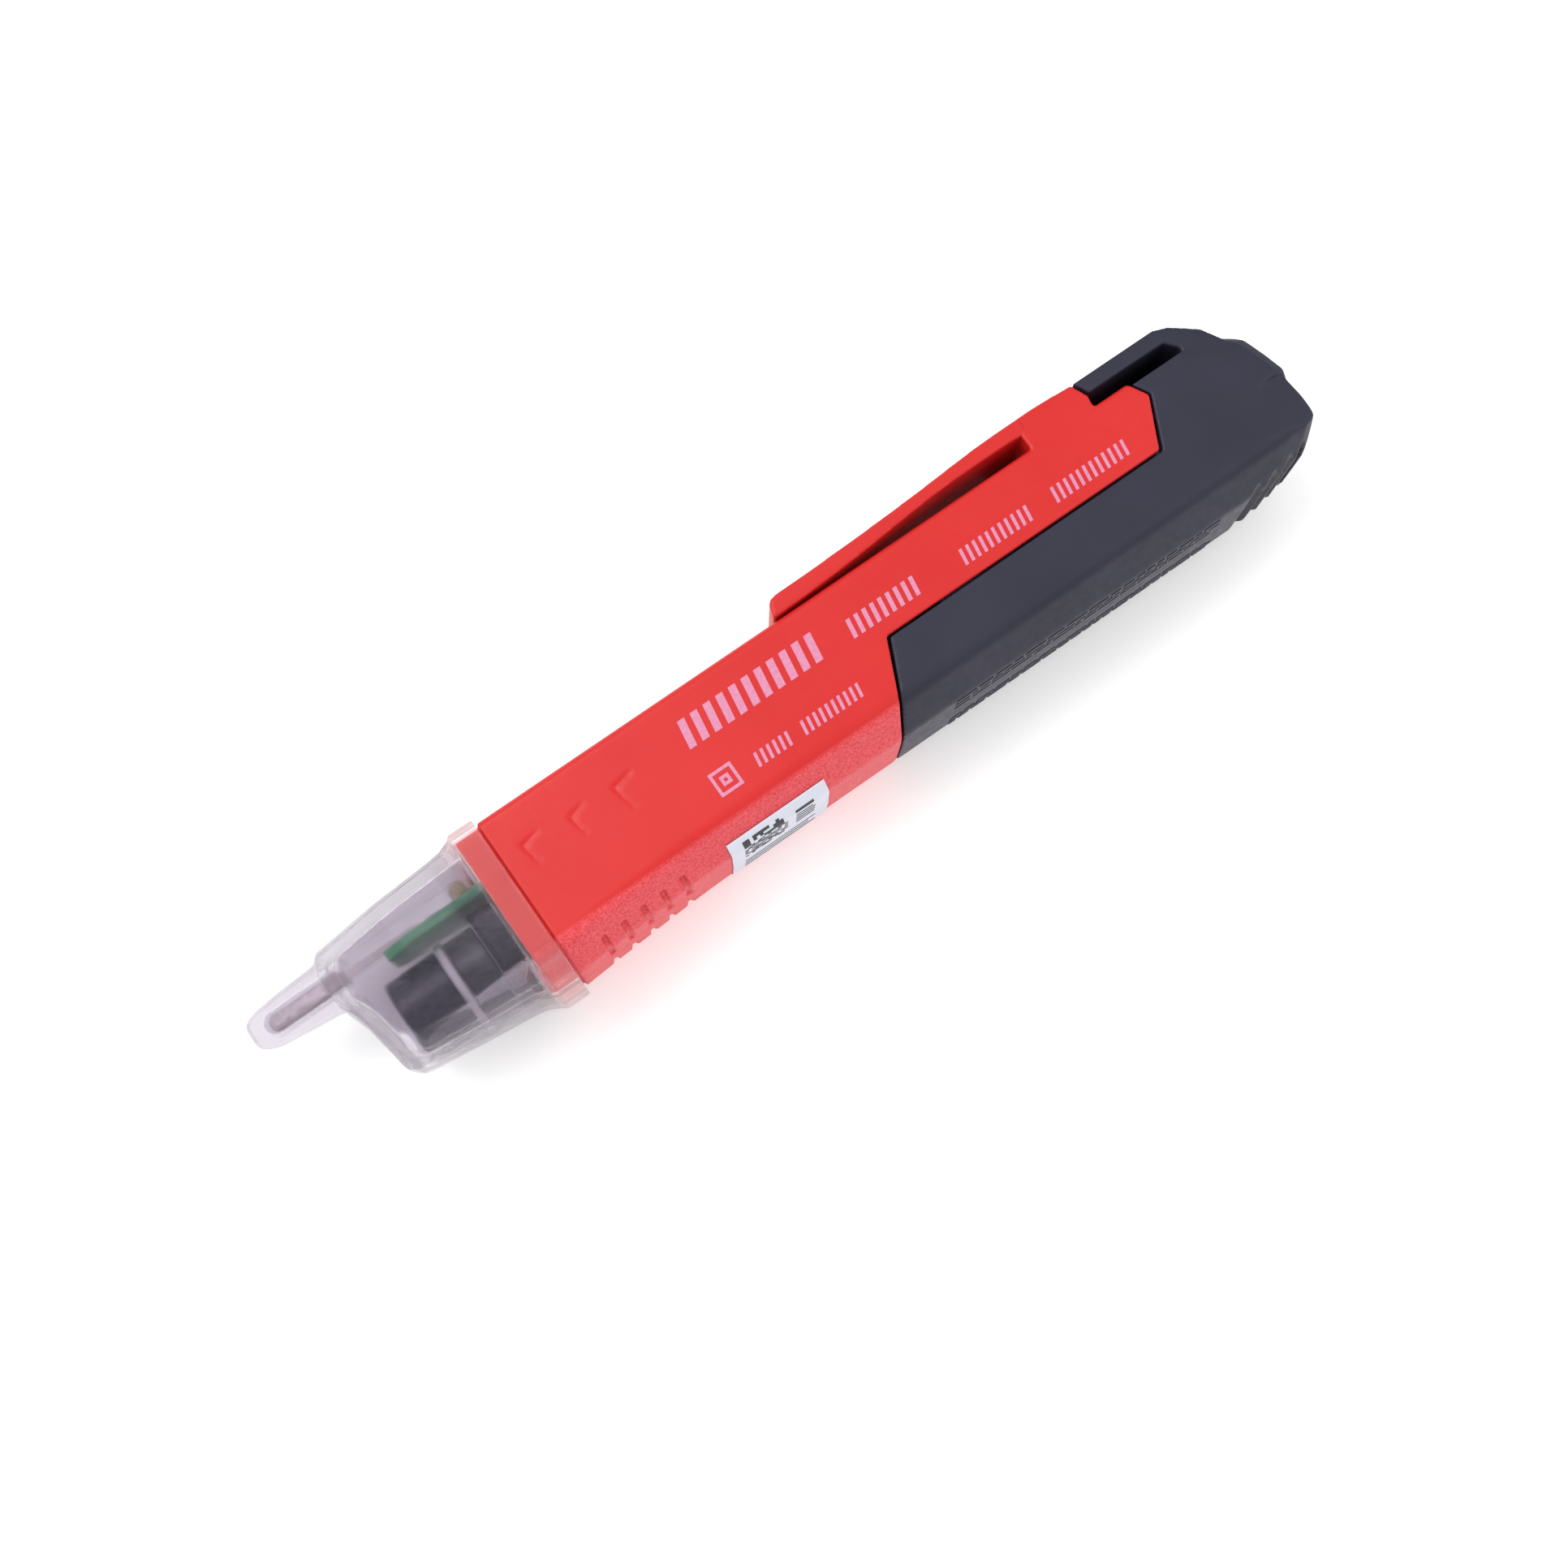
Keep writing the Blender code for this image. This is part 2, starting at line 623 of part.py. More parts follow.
def battery_tray(mat):
    tray = place(block("battery_tray", 94.6, 138.0, 2.1, 5.6, -10.3, 10.3), mat)
    join(tray, block("tray_wall", 94.6, 96.0, 2.1, 15.4, -8.8, 8.8))
    for k, z in enumerate((CELL_Z, -CELL_Z)):
        cradle = rod("cradle_%d" % k, CELL_RADIUS + 0.3, (96.0, CELL_D, z), 50.0, "s", 28)
        cut(tray, cradle)
    return tray


def cells(mats):
    radius = CELL_RADIUS
    body = CELL_LENGTH - CELL_NUB
    profile = [
        (0.0, 0.0), (1.9, 0.0), (1.9, CELL_NUB), (4.7, CELL_NUB), (radius, CELL_NUB + 0.4),
        (radius, CELL_NUB + body - 0.4), (4.6, CELL_LENGTH), (0.0, CELL_LENGTH),
    ]
    place(turned("battery_1", profile, (CELL_START_S, CELL_D, CELL_Z), "s", 28), mats[0])
    flipped = [(r, CELL_LENGTH - t) for r, t in reversed(profile)]
    place(turned("battery_2", flipped, (CELL_START_S, CELL_D, -CELL_Z), "s", 28), mats[1])


def coil(name, s0, s1, z, turns, r0, r1, mat, thick=0.3):
    points = []
    count = int(turns * 14)
    for k in range(count + 1):
        f = k / count
        a = math.tau * turns * f
        r = r0 + (r1 - r0) * f
        points.append((s0 + (s1 - s0) * f, CELL_D + r * math.cos(a), z + r * math.sin(a)))
    place(wire(name, points, thick, 1), mat)


def contacts(mat):
    front = block("positive_contact", 96.3, 96.8, 7.2, 13.2, CELL_Z - 3.0, CELL_Z + 3.0)
    place(front, mat)
    join(front, rod("positive_bump", 1.4, (96.6, CELL_D, CELL_Z), 2.6, "s", 16))
    coil("negative_spring", 96.7, 99.0, -CELL_Z, 3.0, 3.6, 2.0, mat)
    bridge = block("bridge_contact", 146.9, 147.5, 7.0, 13.4, -8.2, 8.2)
    place(bridge, mat)
    join(bridge, rod("bridge_bump", 1.4, (144.3, CELL_D, -CELL_Z), 2.8, "s", 16))
    coil("bridge_spring", 144.5, 146.5, CELL_Z, 3.0, 2.0, 3.6, mat)


def leads(red, black):
    place(wire("lead_positive", [
        (85.0, 8.6, 5.0), (87.0, 9.4, 5.2), (90.0, 10.2, 5.2), (92.5, 10.4, 5.2), (94.2, 10.2, 5.2),
    ], 0.45), red)
    place(wire("lead_negative", [
        (85.0, 8.6, -5.0), (87.0, 9.6, -5.2), (90.0, 10.4, -5.2), (92.5, 10.6, -5.2), (94.2, 10.2, -5.2),
    ], 0.45), black)


def back_strip(s, offset, reach):
    """Open outline over the rounded back, standing off the sleeve."""
    ring = section(s, 0.0, body_depth(s) + offset, BODY_HALF + offset)
    return [p for p in ring if p[1] > 15.0 and abs(p[2]) < reach]


def rating_label(mat):
    """Thin sticker following the rounded back of the sleeve."""
    rings = []
    for s in (61.3, 65.0, 68.7, 72.4, 76.0):
        rings.append(back_strip(s, 0.08, 8.6) + back_strip(s, 0.26, 8.6)[::-1])
    place(tidy_object(loft("rating_label", rings)), mat)


def tidy_object(obj):
    fixed = tidy(obj.name + "_tidy", obj.data)
    name = obj.name
    bpy.data.objects.remove(obj, do_unlink=True)
    fixed.name = name
    return fixed


def build():
    red = material("red_shell", (0.72, 0.045, 0.04), 0.42)
    red_clip = material("red_clip", (0.72, 0.045, 0.04), 0.42)
    dark = material("dark_cover", (0.052, 0.050, 0.082), 0.55)
    clear = material("clear_lens", (0.80, 0.78, 0.82), 0.12, 0.0, 0.35)
    green = material("board_green", (0.05, 0.25, 0.11), 0.45)
    barrel = material("barrel_black", (0.02, 0.02, 0.028), 0.35)
    white = material("ring_white", (0.80, 0.79, 0.78), 0.45)
    led_clear = material("torch_led_resin", (0.90, 0.88, 0.70), 0.15)
    led_red = material("indicator_resin", (0.80, 0.70, 0.35), 0.2)
    brass = material("contact_metal", (0.72, 0.70, 0.66), 0.3, 1.0)
    sensor = material("sensor_metal", (0.62, 0.50, 0.42), 0.4, 1.0)
    steel = material("screw_steel", (0.55, 0.55, 0.56), 0.35, 1.0)
    switch = material("switch_black", (0.03, 0.03, 0.03), 0.5)
    plunger = material("plunger_grey", (0.25, 0.25, 0.27), 0.5)
    power = material("power_button_dark", (0.05, 0.05, 0.07), 0.6)
    torch_key = material("torch_button_grey", (0.30, 0.31, 0.35), 0.6)
    chip = material("chip_black", (0.02, 0.02, 0.02), 0.4)
    buzz = material("buzzer_black", (0.025, 0.025, 0.025), 0.45)
    tray = material("tray_black", (0.03, 0.03, 0.035), 0.6)
    cell_a = material("cell_sleeve_a", (0.10, 0.16, 0.30), 0.3)
    cell_b = material("cell_sleeve_b", (0.10, 0.16, 0.30), 0.3)
    wire_red = material("wire_red", (0.55, 0.03, 0.03), 0.45)
    wire_black = material("wire_black", (0.02, 0.02, 0.02), 0.45)
    paper = material("label_white", (0.80, 0.80, 0.80), 0.5)
    body_shell(red)
    pocket_clip(red_clip)
    nose_lens(clear)
    battery_cover(dark)
    circuit_board(green)
    board_screws(steel)
    sensor_strip(sensor)
    switches(switch, plunger)
    buttons((power, torch_key))
    torch(barrel, white, led_clear)
    indicator_led(led_red)
    board_parts(chip, buzz)
    battery_tray(tray)
    cells((cell_a, cell_b))
    contacts(brass)
    leads(wire_red, wire_black)
    rating_label(paper)


build()
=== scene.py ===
"""Looks of the non contact voltage tester.

Shapes are laid out in millimetres as (s, d, z), as in the part itself:
  s  station along the pen, measured back from the end of the sensing tip
  d  depth measured inward from the flat clip side of the body
  z  height above the mid plane between the two wide faces
"""

import math
import random

import bmesh
import bpy
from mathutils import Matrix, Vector


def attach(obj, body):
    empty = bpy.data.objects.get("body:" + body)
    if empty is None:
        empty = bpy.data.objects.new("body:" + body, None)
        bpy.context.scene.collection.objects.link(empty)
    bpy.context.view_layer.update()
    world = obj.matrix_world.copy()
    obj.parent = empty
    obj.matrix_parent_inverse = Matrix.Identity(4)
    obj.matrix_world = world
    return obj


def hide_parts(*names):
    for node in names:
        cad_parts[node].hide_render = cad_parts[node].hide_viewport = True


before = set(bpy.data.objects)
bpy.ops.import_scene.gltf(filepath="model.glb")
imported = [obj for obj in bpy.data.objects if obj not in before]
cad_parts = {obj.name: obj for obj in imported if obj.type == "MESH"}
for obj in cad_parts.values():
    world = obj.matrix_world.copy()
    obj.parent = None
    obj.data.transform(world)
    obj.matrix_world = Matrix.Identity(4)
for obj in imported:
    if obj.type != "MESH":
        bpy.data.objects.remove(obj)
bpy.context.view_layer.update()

# The layout numbers of the part, in millimetres.
MM = 0.001
LENGTH = 155.8
CLIP_FACE_Y = 9.42
MID_Z = 12.7
GAP = 0.3

BODY_HALF = 11.8
BODY_DEPTH = 20.8
BODY_DEPTH_NOSE = 22.0
BODY_START = 37.8
NECK_START = 34.25
NECK_INSET = 0.5
WALL_WIDE = 1.1
WALL_EDGE = 1.7

COLLAR_FRONT = 34.0
COLLAR_REAR = 37.5
COLLAR_HALF = 12.7
COLLAR_BACK = 23.0
COLLAR_OUT = 0.7
NOSE_WALL = 1.6
NOSE_BEVEL = 2.5
NOSE_FRONT = 11.4
TIP_DEPTH = 4.4
WALL_LEAN = 2.5
WALL_LEAN_START = 8.3
WALL_LEAN_REACH = 4.2

COVER_CORNER_S = 92.5
COVER_HEEL_S = 87.2
COVER_EDGE_D = 9.6
TONGUE_END_S = 138.6
COVER_CAVITY_END = 147.9

CLIP_HALF = 11.7
CLIP_OUT = 4.15
HOOD_OUT = 3.85
SLOT_FLOOR = 0.6
CLIP_ROOT_S = 121.9
CLIP_TIP_S = 82.6

BOARD_FRONT_S = 19.5
BOARD_TOP_D = 5.4
BOARD_THICK = 1.2
TORCH_D = 13.0
TORCH_RADIUS = 4.8
TORCH_FRONT_S = 17.1
TORCH_REAR_S = 30.0
BOSS_S = (57.5, 80.0)
POWER_S = 50.0
TORCH_BUTTON_S = 65.0
BUTTON_LONG = 4.7
BUTTON_WIDE = 4.1

TEXTURE_D = 17.3      # depth where the fine-textured band starts on the wide faces
VOXEL = 0.22
LENS_VOXEL = 0.16
PRINT_LIFT = 0.035    # thickness of the print

FLOOR_DROP = 0.0002   # metres the floor lies under the part, to keep faces apart
FLOOR_GLOW = 0.22
WORLD_STRENGTH = 0.78
KEY_POWER = 3.8
FILL_POWER = 1.3


# ---------------------------------------------------------------- shapes


def at(s, d, z):
    """Point of the pen in metres."""
    return Vector(((s - LENGTH / 2) * MM, (CLIP_FACE_Y - d) * MM, (MID_Z + z) * MM))


def spot(u, v, w, plane):
    if plane == "sd":
        return at(u, v, w)
    if plane == "sz":
        return at(u, w, v)
    return at(w, u, v)


def mesh_object(name, points, faces):
    """Closed mesh with its faces turned outward."""
    mesh = bpy.data.meshes.new(name)
    mesh.from_pydata(points, [], faces)
    bm = bmesh.new()
    bm.from_mesh(mesh)
    bmesh.ops.remove_doubles(bm, verts=bm.verts, dist=1e-7)
    bmesh.ops.recalc_face_normals(bm, faces=bm.faces)
    bm.to_mesh(mesh)
    bm.free()
    obj = bpy.data.objects.new(name, mesh)
    bpy.context.scene.collection.objects.link(obj)
    return obj


def loft(name, rings, closed=False):
    """Solid through rings of equal point count."""
    count = len(rings[0])
    points = [at(*p) for ring in rings for p in ring]
    faces = []
    spans = len(rings) if closed else len(rings) - 1
    for k in range(spans):
        a = k * count
        b = ((k + 1) % len(rings)) * count
        for i in range(count):
            j = (i + 1) % count
            faces.append((a + i, a + j, b + j, b + i))
    if not closed:
        last = (len(rings) - 1) * count
        faces.append(tuple(reversed(range(count))))
        faces.append(tuple(range(last, last + count)))
    return mesh_object(name, points, faces)


def prism(name, outline, low, high, plane="sd"):
    """Flat outline pushed through from low to high along the axis left out of plane."""
    count = len(outline)
    points = [spot(u, v, w, plane) for w in (low, high) for u, v in outline]
    faces = [tuple(range(count)), tuple(range(2 * count - 1, count - 1, -1))]
    for i in range(count):
        j = (i + 1) % count
        faces.append((i, j, count + j, count + i))
    return mesh_object(name, points, faces)


def block(name, s0, s1, d0, d1, z0, z1):
    return prism(name, [(s0, d0), (s1, d0), (s1, d1), (s0, d1)], z0, z1)


def rounded(s0, s1, v0, v1, radius, steps=8):
    """Outline of a rectangle with round corners."""
    points = []
    corners = [(s1, v1, 0), (s0, v1, 90), (s0, v0, 180), (s1, v0, 270)]
    for cs, cv, start in corners:
        ms = cs - radius if cs == s1 else cs + radius
        mv = cv - radius if cv == v1 else cv + radius
        for k in range(steps + 1):
            a = math.radians(start + 90 * k / steps)
            points.append((ms + radius * math.cos(a), mv + radius * math.sin(a)))
    return points


def pillow(name, centre, long, wide, radius, levels, plane="sz"):
    """Rounded pad built up from levels of (height, inset)."""
    rings = []
    for height, inset in levels:
        ring = rounded(
            centre[0] - long + inset, centre[0] + long - inset,
            centre[1] - wide + inset, centre[1] + wide - inset, max(0.05, radius - inset))
        if plane == "sz":
            rings.append([(u, height, v) for u, v in ring])
        else:
            rings.append([(height, u, v) for u, v in ring])
    return loft(name, rings)


def turned(name, profile, centre, direction, steps=64, hollow=False):
    """Revolve (radius, distance) pairs about a line through centre along s or d."""
    s0, d0, z0 = centre
    rings = []
    for radius, along in profile:
        ring = []
        for k in range(steps):
            a = math.tau * k / steps
            u = radius * math.cos(a)
            v = radius * math.sin(a)
            if direction == "s":
                ring.append((s0 + along, d0 + u, z0 + v))
            else:
                ring.append((s0 + u, d0 + along, z0 + v))
        rings.append(ring)
    return loft(name, rings, closed=hollow)


def rod(name, radius, centre, length, direction, steps=48):
    return turned(name, [(radius, 0.0), (radius, length)], centre, direction, steps)


def fillet(corners, radii, splits=None, steps=8):
    """Closed outline with each corner rounded by its own radius."""
    points = []
    count = len(corners)
    for k, (corner, radius) in enumerate(zip(corners, radii)):
        here = Vector(corner)
        back = (Vector(corners[k - 1]) - here).normalized()
        ahead = (Vector(corners[(k + 1) % count]) - here).normalized()
        half = back.angle(ahead) / 2
        start = here + back * radius / math.tan(half)
        centre = here + (back + ahead).normalized() * radius / math.sin(half)
        sweep = math.pi - 2 * half
        turn = math.copysign(1.0, back.x * ahead.y - back.y * ahead.x)
        arm = start - centre
        for j in range(steps + 1):
            a = -turn * sweep * j / steps
            u = arm.x * math.cos(a) - arm.y * math.sin(a)
            v = arm.x * math.sin(a) + arm.y * math.cos(a)
            points.append((centre.x + u, centre.y + v))
        points.append(None)
    if not splits:
        return [p for p in points if p]
    filled = []
    side = 0
    for k, point in enumerate(points):
        if point:
            filled.append(point)
            continue
        u0, v0 = points[k - 1]
        u1, v1 = points[(k + 1) % len(points)]
        parts = splits[side] + 1
        for j in range(1, parts):
            filled.append((u0 + (u1 - u0) * j / parts, v0 + (v1 - v0) * j / parts))
        side += 1
    return filled


def section(s, front, back, half, corner=1.0, soft=2.4, bevel_d=3.3, bevel_z=5.2, splits=None):
    """Body cross section: flat clip side and wide faces, sloped shoulders, bowed back."""
    edge = back - 0.2
    corners = [
        (front, -half), (front, half), (edge - bevel_d, half), (edge, half - bevel_z),
        (back, 0.0), (edge, bevel_z - half), (edge - bevel_d, -half),
    ]
    radii = [corner, corner, soft, soft, 3.0, soft, soft]
    return [(s, d, z) for d, z in fillet(corners, radii, splits)]


def oval(s, centre, wide, tall, power=2.6, steps=48):
    points = []
    for k in range(steps):
        a = math.tau * k / steps
        c = math.cos(a)
        q = math.sin(a)
        d = centre - wide * math.copysign(abs(c) ** (2 / power), c)
        z = tall * math.copysign(abs(q) ** (2 / power), q)
        points.append((s, d, z))
    return points


def curve_through(points, steps=6):
    """Smooth line through the given points."""
    ends = [points[0]] + points + [points[-1]]
    line = []
    for k in range(1, len(ends) - 2):
        p0, p1, p2, p3 = (Vector(p) for p in ends[k - 1:k + 3])
        for j in range(steps):
            t = j / steps
            a = 2 * p1 + (p2 - p0) * t
            b = (2 * p0 - 5 * p1 + 4 * p2 - p3) * t * t
            c = (3 * p1 - p0 - 3 * p2 + p3) * t ** 3
            line.append(tuple((a + b + c) / 2))
    return line + [tuple(points[-1])]


def body_depth(s):
    """The sleeve deepens a little toward the collar."""
    reach = min(1.0, max(0.0, (60.0 - s) / (60.0 - BODY_START)))
    return BODY_DEPTH + (BODY_DEPTH_NOSE - BODY_DEPTH) * reach ** 1.4


def stations(first, last, step):
    count = max(1, round((last - first) / step))
    return [first + (last - first) * k / count for k in range(count + 1)]


def combine(target, tool, operation):
    mod = target.modifiers.new(tool.name, "BOOLEAN")
    mod.operation = operation
    mod.solver = "EXACT"
    mod.object = tool
    TOOLS.append(tool)
    return target


def cut(target, tool):
    return combine(target, tool, "DIFFERENCE")


def join(target, tool):
    return combine(target, tool, "UNION")


TOOLS = []


def bake(obj):
    """Replace the mesh of a piece with what its modifiers give, and drop its cutters."""
    bpy.context.view_layer.update()
    graph = bpy.context.evaluated_depsgraph_get()
    mesh = bpy.data.meshes.new_from_object(obj.evaluated_get(graph))
    obj.modifiers.clear()
    obj.data = mesh
    for tool in TOOLS:
        bpy.data.objects.remove(tool, do_unlink=True)
    TOOLS.clear()
    return obj


def mould(obj, voxel, rounds, keep=1.0):
    """Fuse a piece and round its edges the way a moulding is rounded."""
    remesh = obj.modifiers.new("fuse", "REMESH")
    remesh.mode = "VOXEL"
    remesh.voxel_size = voxel * MM
    smooth = obj.modifiers.new("round_edges", "SMOOTH")
    smooth.factor = 0.5
    smooth.iterations = rounds
    if keep < 1.0:
        thin = obj.modifiers.new("thin_out", "DECIMATE")
        thin.ratio = keep
    bake(obj)
    obj.data.shade_smooth()
    return obj


def soften(obj, width, segments):
    """Bevelled edges and shading that stays flat on flat faces."""
    mod = obj.modifiers.new("edges", "BEVEL")
    mod.width = width * MM
    mod.segments = segments
    mod.limit_method = "ANGLE"
    mod.angle_limit = math.radians(30)
    mod.use_clamp_overlap = True
    bake(obj)
    obj.data.shade_smooth()
    obj.data.set_sharp_from_angle(angle=math.radians(35))
    return obj


def smooth_shade(obj, angle=35.0):
    bake(obj)
    obj.data.shade_smooth()
    obj.data.set_sharp_from_angle(angle=math.radians(angle))
    return obj


def merge(name, objects):
    """One piece from several closed meshes."""
    bm = bmesh.new()
    for obj in objects:
        bm.from_mesh(obj.data)
        bpy.data.objects.remove(obj, do_unlink=True)
    mesh = bpy.data.meshes.new(name)
    bm.to_mesh(mesh)
    bm.free()
    made = bpy.data.objects.new(name, mesh)
    bpy.context.scene.collection.objects.link(made)
    return made


def fit(obj, mat, body, slot, *nodes):
    """Give a piece its material and tie it to the part."""
    obj.data.materials.clear()
    obj.data.materials.append(mat)
    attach(obj, body)
    if nodes:
        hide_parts(*nodes)
    return obj


# ---------------------------------------------------------------- materials


class Nodes:
    """Small helper that wires one Principled material."""

    def __init__(self, name):
        self.mat = bpy.data.materials.new(name)
        self.mat.use_nodes = True
        self.tree = self.mat.node_tree
        self.shader = self.tree.nodes["Principled BSDF"]
        self.place = self.add("ShaderNodeTexCoord").outputs["Object"]

    def add(self, kind):
        return self.tree.nodes.new(kind)

    def link(self, source, target):
        self.tree.links.new(source, target)

    def noise(self, per_mm, detail=3.0, rough=0.5, stretch=None):
        place = self.place
        if stretch:
            scale = self.add("ShaderNodeVectorMath")
            scale.operation = "MULTIPLY"
            scale.inputs[1].default_value = stretch
            self.link(place, scale.inputs[0])
            place = scale.outputs[0]
        node = self.add("ShaderNodeTexNoise")
        node.inputs["Scale"].default_value = per_mm / MM
        node.inputs["Detail"].default_value = detail
        node.inputs["Roughness"].default_value = rough
        self.link(place, node.inputs["Vector"])
        return node.outputs["Fac"]

    def spread(self, source, low, high, start=0.3, end=0.7):
        node = self.add("ShaderNodeMapRange")
        node.inputs["From Min"].default_value = start
        node.inputs["From Max"].default_value = end
        node.inputs["To Min"].default_value = low
        node.inputs["To Max"].default_value = high
        self.link(source, node.inputs["Value"])
        return node.outputs["Result"]

    def mix(self, factor, first, second):
        node = self.add("ShaderNodeMix")
        node.data_type = "RGBA"
        self.link(factor, node.inputs["Factor"])
        for socket, value in ((node.inputs["A"], first), (node.inputs["B"], second)):
            if isinstance(value, tuple):
                socket.default_value = (*value, 1.0)
            else:
                self.link(value, socket)
        return node.outputs["Result"]

    def math(self, kind, first, second):
        node = self.add("ShaderNodeMath")
        node.operation = kind
        for socket, value in zip(node.inputs, (first, second)):
            if isinstance(value, (int, float)):
                socket.default_value = value
            else:
                self.link(value, socket)
        return node.outputs[0]

    def bump(self, height, depth_mm, strength=1.0, after=None):
        node = self.add("ShaderNodeBump")
        node.inputs["Strength"].default_value = strength
        node.inputs["Distance"].default_value = depth_mm * MM
        self.link(height, node.inputs["Height"])
        if after:
            self.link(after, node.inputs["Normal"])
        return node.outputs["Normal"]

    def colour(self, source):
        self.link(source, self.shader.inputs["Base Color"])

    def rough(self, source):
        self.link(source, self.shader.inputs["Roughness"])

    def normal(self, source):
        self.link(source, self.shader.inputs["Normal"])


def plain(name, colour, rough=(0.35, 0.5), shade=0.82, grain=2.5, depth=0.006, metal=0.0, **more):
    """Material with a slow colour drift, uneven gloss and a fine surface grain."""
    n = Nodes(name)
    darker = tuple(c * shade for c in colour)
    n.colour(n.mix(n.spread(n.noise(0.25), 0.0, 1.0), darker, colour))
    n.rough(n.spread(n.noise(0.9, 4.0), rough[0], rough[1]))
    n.normal(n.bump(n.noise(grain, 2.0), depth))
    n.shader.inputs["Metallic"].default_value = metal
    for socket, value in more.items():
        n.shader.inputs[socket.replace("_", " ")].default_value = value
    return n.mat


def red_plastic():
    """Satin red sleeve: smooth wide faces, a finely pebbled band on the shoulders and back; the band's
    pink pebble tops are a painted sheen.
    """
    n = Nodes("red_plastic")
    drift = n.spread(n.noise(0.06, 2.0), 0.0, 1.0)
    face = n.mix(drift, (0.58, 0.013, 0.012), (0.62, 0.018, 0.016))
    pebbles = n.noise(3.1, 2.0, 0.6)
    # Pebbled band colour: the band's own red, lightened to pink on the pebble tops as a painted pink
    # sheen.
    band_colour_with_painted_sheen = n.mix(n.spread(pebbles, 0.0, 1.0), (0.62, 0.030, 0.036), (0.80, 0.105, 0.125))
    split = n.add("ShaderNodeSeparateXYZ")
    n.link(n.place, split.inputs[0])
    edge = (CLIP_FACE_Y - TEXTURE_D) * MM
    band = n.spread(split.outputs["Y"], 1.0, 0.0, edge - 0.3 * MM, edge + 0.3 * MM)
    n.colour(n.mix(band, face, band_colour_with_painted_sheen))
    n.rough(n.math("ADD", n.spread(n.noise(0.7, 4.0), 0.36, 0.46), n.math("MULTIPLY", band, 0.12)))
    fine = n.bump(n.noise(2.2, 3.0), 0.004)
    coarse = n.math("MULTIPLY", pebbles, band)
    n.normal(n.bump(coarse, 0.06, 1.0, fine))
    n.shader.inputs["Specular IOR Level"].default_value = 0.35
    return n.mat


def dark_plastic():
    """Dark blue-grey cover with a soft eggshell grain."""
    n = Nodes("dark_plastic")
    drift = n.spread(n.noise(0.08, 2.0), 0.0, 1.0)
    n.colour(n.mix(drift, (0.015, 0.0145, 0.031), (0.021, 0.020, 0.041)))
    n.rough(n.spread(n.noise(0.8, 4.0), 0.42, 0.55))
    n.normal(n.bump(n.noise(3.4, 3.0, 0.6), 0.018))
    n.shader.inputs["Specular IOR Level"].default_value = 0.35
    return n.mat


def lens_plastic():
    """Clear moulded plastic, a little milky and violet: each wall dims what is behind it."""
    n = Nodes("lens_plastic")
    drift = n.spread(n.noise(0.12, 2.0), 0.0, 1.0)
    cloudy = n.mix(drift, (0.52, 0.47, 0.55), (0.60, 0.55, 0.62))
    split = n.add("ShaderNodeSeparateXYZ")
    n.link(n.place, split.inputs[0])
    collar = (COLLAR_FRONT - LENGTH / 2) * MM
    band = n.spread(split.outputs["X"], 0.0, 1.0, collar - 0.7 * MM, collar + 0.3 * MM)
    n.colour(n.mix(band, cloudy, (0.99, 0.84, 0.86)))
    n.rough(n.spread(n.noise(0.5, 3.0), 0.05, 0.10))
    n.normal(n.bump(n.noise(0.3, 2.0), 0.012))
    n.shader.inputs["Transmission Weight"].default_value = 0.95
    n.shader.inputs["Alpha"].default_value = 0.75
    n.shader.inputs["IOR"].default_value = 1.22
    return n.mat


def print_ink():
    n = Nodes("print_ink")
    n.colour(n.mix(n.spread(n.noise(2.2, 3.0), 0.0, 1.0), (0.60, 0.20, 0.33), (0.68, 0.26, 0.40)))
    n.rough(n.spread(n.noise(1.5, 3.0), 0.45, 0.6))
    n.normal(n.bump(n.noise(5.0, 2.0), 0.006))
    return n.mat


def board_green():
    """Solder mask with faint copper tracks below it."""
    n = Nodes("board_mask")
    tracks = n.noise(0.5, 1.0, 0.3, (0.35, 1.0, 1.6))
    lines = n.spread(tracks, 0.0, 1.0, 0.47, 0.53)
    n.colour(n.mix(lines, (0.035, 0.24, 0.11), (0.07, 0.36, 0.17)))
    n.rough(n.spread(n.noise(1.2, 3.0), 0.28, 0.42))
    n.normal(n.bump(lines, 0.03))
    return n.mat


def cell_wrap(name, colour):
    """Printed sleeve of a cell, darker toward one end."""
    n = Nodes(name)
    split = n.add("ShaderNodeSeparateXYZ")
    n.link(n.place, split.inputs[0])
    lead = n.spread(split.outputs["X"], 0.0, 1.0, 0.028, 0.030)
    n.colour(n.mix(lead, colour, tuple(c * 0.35 for c in colour)))
    n.rough(n.spread(n.noise(0.8, 3.0), 0.22, 0.34))
    n.normal(n.bump(n.noise(1.5, 2.0), 0.006))
    n.shader.inputs["Metallic"].default_value = 0.6
    return n.mat


def plated(name, colour, rough=(0.18, 0.34)):
    """Plated metal with drawn marks."""
    n = Nodes(name)
    n.colour(n.mix(n.spread(n.noise(0.8), 0.0, 1.0), tuple(c * 0.8 for c in colour), colour))
    n.rough(n.spread(n.noise(2.0, 4.0), rough[0], rough[1]))
    n.normal(n.bump(n.noise(3.0, 2.0, 0.5, (0.15, 1.0, 1.0)), 0.008))
    n.shader.inputs["Metallic"].default_value = 1.0
    return n.mat


# ---------------------------------------------------------------- sleeve


